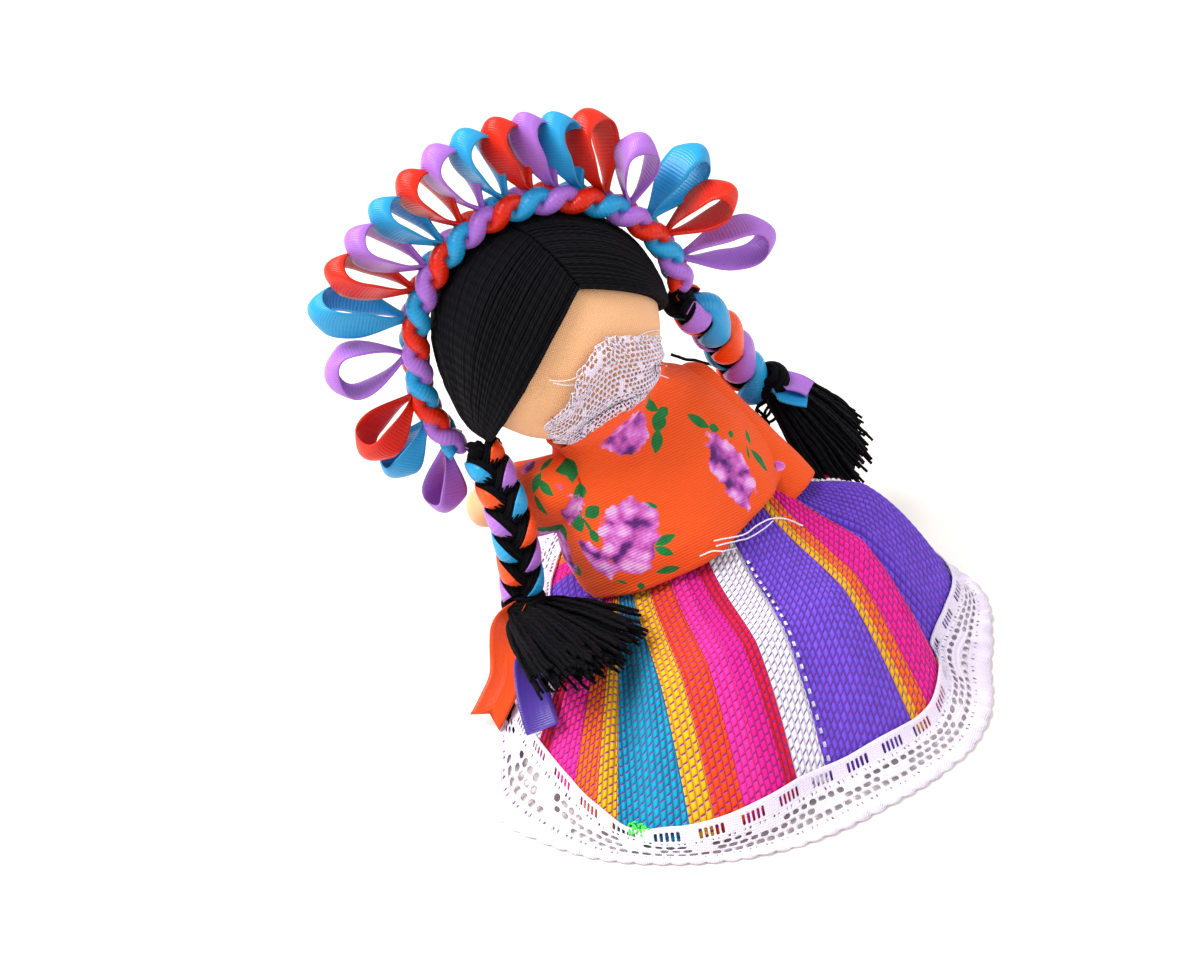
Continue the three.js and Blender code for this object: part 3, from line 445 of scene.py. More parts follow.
def skin_cotton():
    """Peach calico, plain woven and stretched over stuffing: matt, with a fine thread grid"""
    def make(name):
        finish, tree = start_finish(name, 0.85, {"Sheen Weight": 0.25, "Specular IOR Level": 0.3})
        place = add_node(tree, "ShaderNodeTexCoord").outputs["Object"]
        threads = fine_weave(tree, place, 0.36, (0.1, 0.2, 0.4))
        cloud = add_node(tree, "ShaderNodeTexNoise", {}, {"Vector": place, "Scale": 90, "Detail": 3})
        colour = tint(tree, bpy.context.scene.doll_colours.skin, cloud.outputs["Fac"], 0.9, 1.06)
        shaded = tint(tree, colour, threads, 0.93, 1.02)
        return end_finish(finish, shaded.outputs[0], threads, 0.05)
    return finish_named("Peach calico", make)


def yarn_finish(name, colour, pitch, sheen):
    """Spun yarn of two plies: the plies' twist catches the light in slanting ticks, painted into the colour
    as highlight and shade over uneven fibre tone
    """
    def make(label):
        finish, tree = start_finish(label, 0.8, {"Sheen Weight": sheen, "Specular IOR Level": 0.07})
        along = add_node(tree, "ShaderNodeAttribute", {"attribute_name": "along"}).outputs["Fac"]
        profile = add_node(tree, "ShaderNodeAttribute", {"attribute_name": "profile"}).outputs["Vector"]
        parts = add_node(tree, "ShaderNodeSeparateXYZ", {}, {0: profile})
        angle = add_node(tree, MATH, {"operation": "ARCTAN2"},
                         {0: parts.outputs["Y"], 1: parts.outputs["X"]})
        plies = add_node(tree, MATH, {"operation": "MULTIPLY"}, {0: angle, 1: 2.0})
        phase = add_node(tree, MATH, {"operation": "MULTIPLY_ADD"},
                         {0: along, 1: 2 * math.pi / (pitch * MM), 2: plies})
        wave = add_node(tree, MATH, {"operation": "SINE"}, {0: phase})
        place = add_node(tree, "ShaderNodeTexCoord").outputs["Object"]
        fibre = add_node(tree, "ShaderNodeTexNoise", {}, {"Vector": place, "Scale": 4500, "Detail": 2})
        height = add_node(tree, MATH, {"operation": "MULTIPLY_ADD"},
                          {0: fibre.outputs["Fac"], 1: 2.4, 2: wave})
        # Painted highlight and shade: the ply crests are lighter and the grooves darker, over uneven fibre
        # tone
        shaded = tint(tree, colour, height, 0.9, 1.15)
        return end_finish(finish, shaded.outputs[0], height, 0.04)
    return finish_named(name, make)


def black_yarn():
    return yarn_finish("Black acrylic yarn", bpy.context.scene.doll_colours.yarn, 1.8, 0.02)


def white_thread():
    return yarn_finish("White cotton thread", linear("F6F3FA"), 0.8, 0.2)


def bright_yarn():
    return yarn_finish("Green acrylic yarn", linear("4CF04A"), 0.9, 0.3)


def silver_thread():
    """Metallised film thread"""
    def make(name):
        finish, tree = start_finish(name, 0.3, {"Metallic": 0.8})
        place = add_node(tree, "ShaderNodeTexCoord").outputs["Object"]
        grain = add_node(tree, "ShaderNodeTexNoise", {}, {"Vector": place, "Scale": 3000, "Detail": 1})
        shaded = tint(tree, linear("E4E6EE"), grain.outputs["Fac"], 0.7, 1.2)
        return end_finish(finish, shaded.outputs[0], grain.outputs["Fac"], 0.05)
    return finish_named("Silver film thread", make)


def satin(key):
    """Polyester satin ribbon: hardly seen ribs across it, soft long streaks and a silky gloss; the streaks
    and the darker rib grooves are painted sheen and shade
    """
    def make(name):
        finish, tree = start_finish(name, 0.3, {"Specular IOR Level": 0.3, "Anisotropic": 0.5})
        strip = add_node(tree, "ShaderNodeUVMap", {"uv_map": "UVMap"})
        parts = add_node(tree, "ShaderNodeSeparateXYZ", {}, {0: strip})
        phase = add_node(tree, MATH, {"operation": "MULTIPLY"},
                         {0: parts.outputs["Y"], 1: 2 * math.pi / RIBBON_RIB})
        rib = add_node(tree, MATH, {"operation": "SINE"}, {0: phase})
        streaks = add_node(tree, "ShaderNodeMapping", {}, {"Vector": strip, "Scale": (1.6, 0.22, 1)})
        uneven = add_node(tree, "ShaderNodeTexNoise", {}, {"Vector": streaks, "Scale": 1, "Detail": 3})
        height = add_node(tree, MATH, {"operation": "MULTIPLY_ADD"},
                          {0: uneven.outputs["Fac"], 1: 3, 2: rib})
        # Painted sheen and shade: long lighter and darker streaks and darker rib grooves tint the ribbon's
        # colour
        shaded = tint(tree, getattr(bpy.context.scene.doll_colours, key), height, 0.87, 1.07)
        return end_finish(finish, shaded.outputs[0], height, 0.018)
    return finish_named(key.capitalize() + " satin ribbon", make)


def lace_finish():
    """Knitted polyester lace: fine looped threads, slightly see-through in its solid parts"""
    def make(name):
        finish, tree = start_finish(name, 0.7, {
            "Sheen Weight": 0.3, "Subsurface Weight": 0.15, "Subsurface Scale": 0.0006})
        place = add_node(tree, "ShaderNodeTexCoord").outputs["Object"]
        threads = fine_weave(tree, place, 0.3, (0.0, 0.0, 0.6))
        shaded = tint(tree, bpy.context.scene.doll_colours.lace, threads, 0.84, 1.03)
        return end_finish(finish, shaded.outputs[0], threads, 0.08)
    return finish_named("White knitted lace", make)


def striped_weave():
    """Hand-woven cloth: fat yarn floats in brick order, painted darker towards their edges and ends as shade
    and lighter on their tops, with ticks of purple weft between their ends
    """
    def make(name):
        finish, tree = start_finish(name, 0.85, {"Sheen Weight": 0.05, "Specular IOR Level": 0.2})
        stripe = add_node(tree, "ShaderNodeAttribute", {"attribute_name": "Stripe"}).outputs["Color"]
        cloth = add_node(tree, "ShaderNodeUVMap", {"uv_map": "UVMap"}).outputs[0]
        parts = add_node(tree, "ShaderNodeSeparateXYZ", {}, {0: cloth})
        column = add_node(tree, MATH, {"operation": "DIVIDE"}, {0: parts.outputs["X"], 1: FLOAT_WIDTH})
        whole = add_node(tree, MATH, {"operation": "FLOOR"}, {0: column})
        side = add_node(tree, MATH, {"operation": "FRACT"}, {0: column})
        half = add_node(tree, MATH, {"operation": "MULTIPLY"}, {0: whole, 1: 0.5})
        stagger = add_node(tree, MATH, {"operation": "FRACT"}, {0: half})
        leaning = add_node(tree, MATH, {"operation": "MULTIPLY_ADD"},
                           {0: side, 1: FLOAT_LEAN, 2: stagger})
        row = add_node(tree, MATH, {"operation": "MULTIPLY_ADD"},
                       {0: parts.outputs["Y"], 1: 1 / FLOAT_LENGTH, 2: leaning})
        step = add_node(tree, MATH, {"operation": "FRACT"}, {0: row})
        centred = []
        for value in (side, step):
            doubled = add_node(tree, MATH, {"operation": "MULTIPLY_ADD"}, {0: value, 1: 2, 2: -1})
            centred.append(add_node(tree, MATH, {"operation": "ABSOLUTE"}, {0: doubled}))
        domes = []
        for value, power in zip(centred, (2.2, 4.0)):
            steep = add_node(tree, MATH, {"operation": "POWER"}, {0: value, 1: power})
            domes.append(add_node(tree, MATH, {"operation": "SUBTRACT"}, {0: 1.0, 1: steep}))
        dome = add_node(tree, MATH, {"operation": "MULTIPLY"}, {0: domes[0], 1: domes[1]})
        number = add_node(tree, MATH, {"operation": "FLOOR"}, {0: row})
        place = add_node(tree, "ShaderNodeCombineXYZ", {}, {0: whole, 1: number})
        own = add_node(tree, "ShaderNodeTexWhiteNoise", {"noise_dimensions": "2D"}, {"Vector": place})
        fibres = add_node(tree, "ShaderNodeMapping", {}, {"Vector": cloth, "Scale": (7, 2, 1)})
        hairs = add_node(tree, "ShaderNodeTexNoise", {}, {"Vector": fibres, "Scale": 1, "Detail": 3})
        dyed = tint(tree, stripe, own.outputs["Value"], 0.92, 1.12)
        combed = tint(tree, dyed, hairs.outputs["Fac"], 0.86, 1.24)
        # Painted shade and highlight: each float is darker towards its edges and ends and lighter on its top,
        # following its dome
        shaded = tint(tree, combed, dome, 0.62, 1.12)
        end = add_node(tree, "ShaderNodeMapRange", {}, {
            "Value": centred[1], "From Min": 0.74, "From Max": 0.86})
        inside = add_node(tree, "ShaderNodeMapRange", {}, {
            "Value": centred[0], "From Min": 0.85, "From Max": 0.6})
        tick = add_node(tree, MATH, {"operation": "MULTIPLY"}, {0: end, 1: inside})
        faint = add_node(tree, MATH, {"operation": "MULTIPLY"}, {0: tick, 1: 0.85})
        weft = tint(tree, linear("8A2AA8"), hairs.outputs["Fac"], 0.7, 1.3)
        woven = add_node(tree, "ShaderNodeMix", {"data_type": "RGBA"},
                         {0: faint, 6: shaded, 7: weft})
        lift = add_node(tree, MATH, {"operation": "MULTIPLY_ADD"},
                        {0: hairs.outputs["Fac"], 1: 0.3, 2: dome})
        return end_finish(finish, woven.outputs[2], lift, 0.3)
    return finish_named("Striped hand-woven cloth", make)


def rose_cotton(roses, leaves):
    """Printed cotton twill: dyed roses and leaves on an orange ground, with fine slanted ribs"""
    def make(name):
        colours = bpy.context.scene.doll_colours
        finish, tree = start_finish(name, 0.82, {"Sheen Weight": 0.05, "Specular IOR Level": 0.25})
        place = add_node(tree, "ShaderNodeTexCoord").outputs["Object"]
        cloud = add_node(tree, "ShaderNodeTexNoise", {}, {"Vector": place, "Scale": 120, "Detail": 3})
        ground = tint(tree, colours.blouse, cloud.outputs["Fac"], 0.93, 1.05).outputs[0]
        edge = add_node(tree, "ShaderNodeTexNoise", {}, {"Vector": place, "Scale": 420, "Detail": 3})
        ragged = add_node(tree, MATH, {"operation": "MULTIPLY_ADD"},
                          {0: edge.outputs["Fac"], 1: 1.1, 2: -0.55})
        petals = add_node(tree, "ShaderNodeTexVoronoi", {"feature": "SMOOTH_F1"},
                          {"Vector": place, "Scale": 330, "Randomness": 1.0, "Smoothness": 0.35})
        folded = add_node(tree, MATH, {"operation": "MULTIPLY_ADD"},
                          {0: edge.outputs["Fac"], 1: 1.5, 2: petals.outputs["Distance"]})
        scaled = add_node(tree, MATH, {"operation": "MULTIPLY_ADD"}, {0: folded, 1: 0.9, 2: -0.48})
        ramp = add_node(tree, "ShaderNodeValToRGB", {}, {0: scaled})
        ramp.color_ramp.elements[0].position = 0.28
        ramp.color_ramp.elements[0].color = linear("F2B6EA")
        ramp.color_ramp.elements[1].position = 0.96
        ramp.color_ramp.elements[1].color = linear("5A2270")
        for position, colour in ((0.52, linear("E07CD8")), (0.7, colours.rose), (0.84, colours.rose_shade)):
            ramp.color_ramp.elements.new(position).color = colour
        leafy = tint(tree, colours.leaf, edge.outputs["Fac"], 0.4, 1.6)
        for spots, dye, raggedness, is_leaf in ((leaves, leafy, 0.35, True), (roses, ramp, 1.0, False)):
            for frame_of_spot in spots:
                spot, turn, size = frame_of_spot.decompose()
                inside = add_node(tree, "ShaderNodeMapping", {"vector_type": "TEXTURE"}, {
                    "Vector": place, "Location": spot, "Rotation": turn.to_euler(), "Scale": size}).outputs[0]
                if is_leaf:
                    parts = add_node(tree, "ShaderNodeSeparateXYZ", {}, {0: inside})
                    square = add_node(tree, MATH, {"operation": "POWER"}, {0: parts.outputs["X"], 1: 2.0})
                    narrow = add_node(tree, MATH, {"operation": "ABSOLUTE"}, {0: parts.outputs["Y"]})
                    pointed = add_node(tree, MATH, {}, {0: square, 1: narrow})
                    deep = add_node(tree, MATH, {"operation": "ABSOLUTE"}, {0: parts.outputs["Z"]})
                    reach = add_node(tree, MATH, {"operation": "MAXIMUM"}, {0: pointed, 1: deep}).outputs[0]
                else:
                    length = add_node(tree, "ShaderNodeVectorMath", {"operation": "LENGTH"}, {0: inside})
                    reach = length.outputs["Value"]
                uneven = add_node(tree, MATH, {"operation": "MULTIPLY_ADD"},
                                  {0: ragged, 1: raggedness, 2: reach})
                mask = add_node(tree, "ShaderNodeMapRange", {}, {
                    "Value": uneven, "From Min": 0.94, "From Max": 1.04, "To Min": 1.0, "To Max": 0.0})
                ground = add_node(tree, "ShaderNodeMix", {"data_type": "RGBA"},
                                  {0: mask, 6: ground, 7: dye}).outputs[2]
        across_ribs = CAMERA_UP * math.cos(TWILL_SLANT) - CAMERA_RIGHT * math.sin(TWILL_SLANT)
        distance = add_node(tree, "ShaderNodeVectorMath", {"operation": "DOT_PRODUCT"},
                            {0: place, 1: across_ribs})
        phase = add_node(tree, MATH, {"operation": "MULTIPLY_ADD"}, {
            0: distance.outputs["Value"], 1: 2 * math.pi / (TWILL_PITCH * MM), 2: cloud.outputs["Fac"]})
        rib = add_node(tree, MATH, {"operation": "SINE"}, {0: phase})
        shaded = tint(tree, ground, rib, 0.95, 1.03)
        return end_finish(finish, shaded.outputs[0], rib, 0.035)
    return finish_named("Rose-print cotton", make)


# Meshes

def mesh_object(name, points, faces, finish, corner_uvs=None):
    """An object at the origin from points in millimetres"""
    mesh = bpy.data.meshes.new(name)
    mesh.from_pydata([tuple(Vector(p) * MM) for p in points], [], faces)
    mesh.materials.append(finish)
    if corner_uvs:
        layer = mesh.uv_layers.new(name="UVMap")
        layer.data.foreach_set("uv", np.array(corner_uvs, dtype=np.float32).ravel())
    mesh.shade_smooth()
    made = bpy.data.objects.new(name, mesh)
    bpy.context.scene.collection.objects.link(made)
    return made


def enclosed_volume(points, faces):
    total = 0
    for face in faces:
        first = points[face[0]]
        for b, c in zip(face[1:-1], face[2:]):
            total += first.dot(points[b].cross(points[c]))
    return total


def skin_rings(name, rings, finish, uv_at, closed_path=False):
    """A closed solid through rings of points, with a UV place for each ring and side"""
    count = len(rings[0])
    points = [Vector(p) for ring in rings for p in ring]
    faces = []
    uvs = []
    spans = len(rings) if closed_path else len(rings) - 1
    for i in range(spans):
        here = i * count
        following = ((i + 1) % len(rings)) * count
        for j in range(count):
            k = (j + 1) % count
            faces.append((here + j, here + k, following + k, following + j))
            uvs.append([uv_at(i, j), uv_at(i, j + 1), uv_at(i + 1, j + 1), uv_at(i + 1, j)])
    if not closed_path:
        for row, turn in ((0, -1), (len(rings) - 1, 1)):
            ring = [row * count + j for j in range(count)]
            middle = sum((points[p] for p in ring), Vector()) / count
            points.append(middle)
            for j in range(count):
                pair = (ring[j], ring[(j + 1) % count])[::turn]
                faces.append((pair[0], pair[1], len(points) - 1))
                uvs.append([uv_at(row, j)] * 3)
    if enclosed_volume(points, faces) < 0:
        faces = [face[::-1] for face in faces]
        uvs = [corners[::-1] for corners in uvs]
    flat = [uv for corners in uvs for uv in corners]
    return mesh_object(name, points, faces, finish, flat)


def curve_between(a, b, c, d, t):
    """The place at a share t from b to c on a smooth curve through a, b, c and d"""
    return 0.5 * (2 * b + (c - a) * t + (2 * a - 5 * b + 4 * c - d) * t * t
                  + (3 * b - a - 3 * c + d) * t ** 3)


def soft_step(share):
    return share * share * (3 - 2 * share)


def smooth_route(route, count):
    """Evenly shared points on a smooth curve through a route"""
    stops = [Vector(p) for p in route]
    ends = [2 * stops[0] - stops[1]] + stops + [2 * stops[-1] - stops[-2]]
    fine = []
    for i in range(len(stops) - 1):
        a, b, c, d = ends[i:i + 4]
        for k in range(20):
            fine.append(curve_between(a, b, c, d, k / 20))
    fine.append(stops[-1])
    lengths = np.concatenate([[0], np.cumsum([(q - p).length for p, q in zip(fine, fine[1:])])])
    table = np.array(fine)
    wanted = np.linspace(0, lengths[-1], count)
    return [Vector(p) for p in np.stack([np.interp(wanted, lengths, table[:, k]) for k in range(3)], axis=1)]


def square_to(tangent, wanted):
    across = (wanted - tangent * wanted.dot(tangent)).normalized()
    return across, tangent.cross(across)


def tangents(points):
    padded = [points[0]] + list(points) + [points[-1]]
    return [(c - a).normalized() for a, c in zip(padded, padded[2:])]


def ellipse(centre, across, deep, half_width, half_depth, sides):
    turns = [2 * math.pi * i / sides for i in range(sides)]
    return [centre + across * (half_width * math.cos(t)) + deep * (half_depth * math.sin(t)) for t in turns]


def ribbon_ring(centre, across, deep, half_width, thickness, cup):
    """The thin closed cross-section of a ribbon, cupped towards one face"""
    spread = [2 * k / RIBBON_COLUMNS - 1 for k in range(RIBBON_COLUMNS + 1)]
    top = [centre + across * (s * half_width) + deep * (cup * (s * s - 0.4) + thickness / 2) for s in spread]
    under = [p - deep * thickness for p in top]
    return top + under[::-1]


def ribbon_uv(width):
    """UV across and along a ribbon's cross-section, in millimetres"""
    def place(along, j):
        k = j if j <= RIBBON_COLUMNS else 2 * RIBBON_COLUMNS + 1 - j
        return (width * (k / RIBBON_COLUMNS - 0.5), along)
    return place


# Yarns and threads are laid along lines by one geometry node tree

def yarn_tree():
    title = "Yarn laid along lines"
    found = bpy.data.node_groups.get(title)
    if found:
        return found
    tree = bpy.data.node_groups.new(title, "GeometryNodeTree")
    inputs = (("Lines", "Geometry"), ("Yarn radius", "Float"), ("Sides", "Int"), ("Waviness", "Float"),
              ("Seed", "Float"), ("Finish", "Material"))
    for label, kind in inputs:
        tree.interface.new_socket(label, in_out="INPUT", socket_type="NodeSocket" + kind)
    tree.interface.new_socket("Yarns", in_out="OUTPUT", socket_type="NodeSocketGeometry")
    start = add_node(tree, "NodeGroupInput").outputs
    curves = add_node(tree, "GeometryNodeMeshToCurve", {}, {"Mesh": start["Lines"]})
    place = add_node(tree, "GeometryNodeInputPosition").outputs[0]
    shake = add_node(tree, "ShaderNodeTexNoise", {"noise_dimensions": "4D"},
                     {"Vector": place, "W": start["Seed"], "Scale": 320.0, "Detail": 1.0})
    centred = add_node(tree, "ShaderNodeVectorMath", {"operation": "SUBTRACT"},
                       {0: shake.outputs["Color"], 1: (0.5, 0.5, 0.5)})
    offset = add_node(tree, "ShaderNodeVectorMath", {"operation": "SCALE"},
                      {0: centred, "Scale": start["Waviness"]})
    moved = add_node(tree, "GeometryNodeSetPosition", {},
                     {"Geometry": curves, "Offset": offset})
    length = add_node(tree, "GeometryNodeSplineParameter").outputs["Length"]
    marked = add_node(tree, "GeometryNodeStoreNamedAttribute", {"data_type": "FLOAT", "domain": "POINT"},
                      {"Geometry": moved, "Name": "along", "Value": length})
    circle = add_node(tree, "GeometryNodeCurvePrimitiveCircle", {},
                      {"Resolution": start["Sides"], "Radius": start["Yarn radius"]})
    around = add_node(tree, "GeometryNodeStoreNamedAttribute",
                      {"data_type": "FLOAT_VECTOR", "domain": "POINT"},
                      {"Geometry": circle, "Name": "profile", "Value": place})
    tube = add_node(tree, "GeometryNodeCurveToMesh", {},
                    {"Curve": marked, "Profile Curve": around, "Fill Caps": True})
    smooth = add_node(tree, "GeometryNodeSetShadeSmooth", {}, {"Geometry": tube})
    real = add_node(tree, "GeometryNodeRealizeInstances", {}, {"Geometry": smooth})
    dyed = add_node(tree, "GeometryNodeSetMaterial", {},
                    {"Geometry": real, "Material": start["Finish"]})
    add_node(tree, "NodeGroupOutput", {}, {"Yarns": dyed})
    return tree


def apply_modifiers(made):
    """Give an object the plain mesh that its modifiers make"""
    before = made.data
    solid = bpy.data.meshes.new_from_object(made.evaluated_get(bpy.context.evaluated_depsgraph_get()))
    made.modifiers.clear()
    made.data = solid
    bpy.data.meshes.remove(before)
    return made


def surface_tree(pieces, points=(), faces=()):
    """A tree for casting rays at some pieces, and at other given faces"""
    points = list(points)
    faces = list(faces)
    for piece in pieces:
        first = len(points)
        points.extend(v.co.copy() for v in piece.data.vertices)
        faces.extend([first + v for v in face.vertices] for face in piece.data.polygons)
    return BVHTree.FromPolygons(points, faces)


def square_corners(half):
    return [Vector((x * half, y * half, 0)) for x, y in ((-1, -1), (1, -1), (1, 1), (-1, 1))]


def lay_yarns(name, lines, radius, finish, sides=6, waviness=0.0, seed=1):
    """Yarns along lines of points in millimetres, as one plain mesh; the radius is in metres"""
    points = []
    edges = []
    for line in lines:
        first = len(points)
        points.extend(line)
        edges.extend((k, k + 1) for k in range(first, len(points) - 1))
    mesh = bpy.data.meshes.new(name + "_lines")
    mesh.from_pydata([tuple(Vector(p) * MM) for p in points], edges, [])
    made = bpy.data.objects.new(name, mesh)
    bpy.context.scene.collection.objects.link(made)
    tree = yarn_tree()
    modifier = made.modifiers.new("Yarns", "NODES")
    modifier.node_group = tree
    values = {"Yarn radius": radius, "Sides": sides, "Waviness": waviness * MM, "Seed": float(seed),
              "Finish": finish}
    for item in tree.interface.items_tree:
        if item.in_out == "INPUT" and item.name in values:
            modifier[item.identifier] = values[item.name]
    return apply_modifiers(made)


def settle(piece, body, slot, *nodes):
    """Say which body carries a piece and which solids it stands for; the finish slot is not used"""
    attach(piece, body)
    if nodes:
        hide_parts(*nodes)
    return piece


# Head and hair

def head_way(azimuth, height):
    a = math.radians(azimuth)
    h = math.radians(height)
    return (HEAD_SIDE * math.sin(a) + HEAD_FRONT * math.cos(a)) * math.cos(h) + HEAD_UP * math.sin(h)


def on_head(way, radius):
    """The point of the slightly tall head ball in a direction"""
    return HEAD_CENTRE + (way + HEAD_UP * (way.dot(HEAD_UP) * (HEAD_HEIGHT_SHARE - 1))) * radius


class MakeHead(bpy.types.Operator):
    """Make the stuffed head"""
    bl_idname = "doll.make_head"
    bl_label = "Head"

    def execute(self, context):
        def place(azimuth, height):
            way = head_way(azimuth, height)
            pucker = HEAD_PUCKER * noise.noise(way * 4)
            return on_head(way, HEAD_RADIUS - 0.1 + pucker)
        heights = [-89 + 4.45 * k for k in range(41)]
        rings = [[place(azimuth, height) for azimuth in range(-180, 180, 6)] for height in heights]
        head = skin_rings("stuffed_head", rings, skin_cotton(), lambda i, j: (j / 60, i / 40))
        settle(head, "head", "skin_cotton", "head")
        return {"FINISHED"}


def hair_path(node, share, radius, raised):
    """One yarn's line from the parting to the plait, raised off the head as it nears the plait"""
    gather, front, side, nape, rise = HAIR_WAYS[node]
    angle = math.radians(PARTING_FRONT + (PARTING_NAPE - PARTING_FRONT) * share)
    start = HEAD_FRONT * math.cos(angle) + HEAD_UP * math.sin(angle)
    beside = PARTING_HALF_GAP if node == "hair_left" else -PARTING_HALF_GAP
    start = (start + HEAD_SIDE * beside).normalized()
    end = head_way(*gather)
    lower, upper = (front, side) if share < 0.5 else (side, nape)
    blend = share * 2 if share < 0.5 else share * 2 - 1
    eased = math.sin(blend * math.pi / 2) if share < 0.5 else 1 - math.cos(blend * math.pi / 2)
    middle = (head_way(*lower) * (1 - eased) + head_way(*upper) * eased).normalized()
    control = middle * 2 - (start + end) / 2
    line = []
    for k in range(HAIR_POINTS):
        t = k / (HAIR_POINTS - 1)
        way = start * ((1 - t) ** 2) + control * (2 * t * (1 - t)) + end * (t * t)
        near = max(0.0, (t - HAIR_RISES_FROM) / (1 - HAIR_RISES_FROM))
        line.append(on_head(way.normalized(), radius + raised * rise * soft_step(near)))
    return line


class MakeHair(bpy.types.Operator):
    """Lay the hair yarns from the parting to the plaits"""
    bl_idname = "doll.make_hair"
    bl_label = "Hair"

    def execute(self, context):
        random.seed(7)
        sizes = context.scene.doll_sizes
        for node in HAIR_WAYS:
            shares = [k / HAIR_COLUMNS for k in range(HAIR_COLUMNS + 1)]
            outer = [hair_path(node, s, HAIR_OUTSIDE - HAIR_LAYER_INSET, 1) for s in shares]
            inner = [hair_path(node, s, HEAD_RADIUS + HAIR_OFF_SKIN, 0) for s in shares]
            rings = [o + i[::-1] for o, i in zip(outer, inner)]
            base = skin_rings(node + "_layer", rings, black_yarn(),
                              lambda i, j: (i / HAIR_COLUMNS, j / (2 * HAIR_POINTS)))
            settle(base, "head", "black_yarn", node)
            lines = []
            for layer, (lift, count) in enumerate(HAIR_LAYERS):
                for k in range(count):
                    share = (k + 0.5 * layer + random.uniform(-0.25, 0.25)) / count
                    share = min(max(share, 0.0), 1.0)
                    radius = HAIR_OUTSIDE + lift + random.uniform(-0.12, 0.12)
                    lines.append(hair_path(node, share, radius, 1))
            yarns = lay_yarns(node + "_yarns", lines, sizes.hair_yarn, black_yarn(), 6, 0.5, 3)
            settle(yarns, "head", "black_yarn")
        return {"FINISHED"}


# Body

def limb_rings(pivot, way, length, root, radius, end):
    """Rings of a stuffed limb, from its round root to its round end"""
    across, deep = square_to(way, Vector((1, 0, 0)))
    turns = [math.radians(angle) for angle in (80, 60, 40, 20)]
    stations = [(-root * math.sin(turn), root * math.cos(turn)) for turn in turns] + [(0, root)]
    for base, shape in ((radius, ((0.16, 1.05), (0.45, 1), (0.72, 0.84), (0.78, 0.86))),
                        (end, ((0.86, 0.98), (0.93, 0.94), (0.975, 0.7), (0.998, 0.3)))):
        stations += [(along * length, base * share) for along, share in shape]
    return [ellipse(pivot + way * along, across, deep, size, size, 20) for along, size in stations]


class MakeBody(bpy.types.Operator):
    """Make the stuffed trunk, arms and legs"""
    bl_idname = "doll.make_body"
    bl_label = "Body"

    def execute(self, context):
        stations = [(Vector(place), wide, deep) for place, wide, deep in SEAT_STATIONS]
        stations += [(WAIST_CENTRE + TRUNK_UP * (share * TRUNK_LENGTH), wide, deep)
                     for share, wide, deep in TRUNK_STATIONS]
        rings = []
        for centre, half_width, half_depth in stations:
            up = Vector((0, 0, 1)) if centre.z < 6 else TRUNK_UP
            across, deep = square_to(up, TRUNK_LEFT)
            rings.append(ellipse(centre, across, deep, half_width, half_depth, 24))
        torso = skin_rings("stuffed_torso", rings, skin_cotton(), lambda i, j: (j / 24, i / 8))
        settle(torso, "torso", "skin_cotton", "torso")
        for node, hip in HIPS.items():
            way = Vector((math.copysign(0.06, hip.x), -1, 0)).normalized()
            rings = limb_rings(hip, way, LEG_LENGTH, *LEG_RADII)
            leg = skin_rings("stuffed_" + node, rings, skin_cotton(), lambda i, j: (j / 20, i / 12))
            settle(leg, node, "skin_cotton", node)
        for node, pivot, way in (("arm_right", SHOULDER_RIGHT, ARM_RIGHT_WAY),
                                 ("arm_left", SHOULDER_LEFT, ARM_LEFT_WAY)):
            rings = limb_rings(pivot, way, ARM_LENGTH, *ARM_RADII)
            arm = skin_rings("stuffed_" + node, rings, skin_cotton(), lambda i, j: (j / 20, i / 12))
            settle(arm, node, "skin_cotton", node)
        return {"FINISHED"}


# Clothes

def hung(point, bearing, rise, pull):
    """Move a point of the blouse or the waist where the cloth is pulled up and back"""
    near = max(0.0, math.cos(math.radians(bearing - BLOUSE_HANG_BEARING))) ** 1.5
    return (point + TRUNK_UP * (rise * near) + TRUNK_BACK * (BLOUSE_HANG_BACK * pull * near)
            - TRUNK_LEFT * (BLOUSE_HANG_RIGHT * pull * near))


def blouse_point(bearing, share, inset):
    """A point of the blouse, with its soft folds"""
    columns = list(zip(*BLOUSE_PROFILE))
    wide, deep, rise, pull = (float(np.interp(share, columns[0], values)) for values in columns[1:])
    turn = math.radians(bearing)
    way = TRUNK_LEFT * math.cos(turn) + TRUNK_BACK * math.sin(turn)
    crease = BLOUSE_CREASE * noise.noise(Vector((way.x * 2.2, way.y * 2.2, share * 3.0)))
    tuck = BLOUSE_TUCK * math.sin(BLOUSE_TUCKS * turn) * max(0.0, 1 - share * 4)
    out = crease + tuck - inset
    point = (WAIST_CENTRE + TRUNK_UP * (share * TRUNK_LENGTH)
             + TRUNK_LEFT * ((BLOUSE_HALF_WIDTH * wide + out) * math.cos(turn))
             + TRUNK_BACK * ((BLOUSE_HALF_DEPTH * deep + out) * math.sin(turn)))
    return hung(point, bearing, rise, pull)


def clear_of_head(point, room):
    """Push a point of cloth out of the hair"""
    away = point - HEAD_CENTRE
    return HEAD_CENTRE + away.normalized() * room if away.length < room else point


def camera_ray(x, y):
    """The direction in which the camera looks at a pixel of the photograph"""
    forward = CAMERA_UP.cross(CAMERA_RIGHT)
    focal = CAMERA_LENS / CAMERA_SENSOR * PHOTO_WIDTH
    right = CAMERA_RIGHT * (x - PHOTO_WIDTH / 2)
    return (forward * focal + right - CAMERA_UP * (y - PHOTO_HEIGHT / 2)).normalized()


def neckline_point(bearing, radius):
    """Where the camera sees the neckline on a ball round the head"""
    bearings, across, down = zip(*NECKLINE)
    way = camera_ray(float(np.interp(bearing, bearings, across)), float(np.interp(bearing, bearings, down)))
    start = CAMERA_EYE - HEAD_CENTRE
    towards = start.dot(way)
    reach = -towards - math.sqrt(max(0.0, towards ** 2 - start.length_squared + radius ** 2))
    return CAMERA_EYE + way * reach


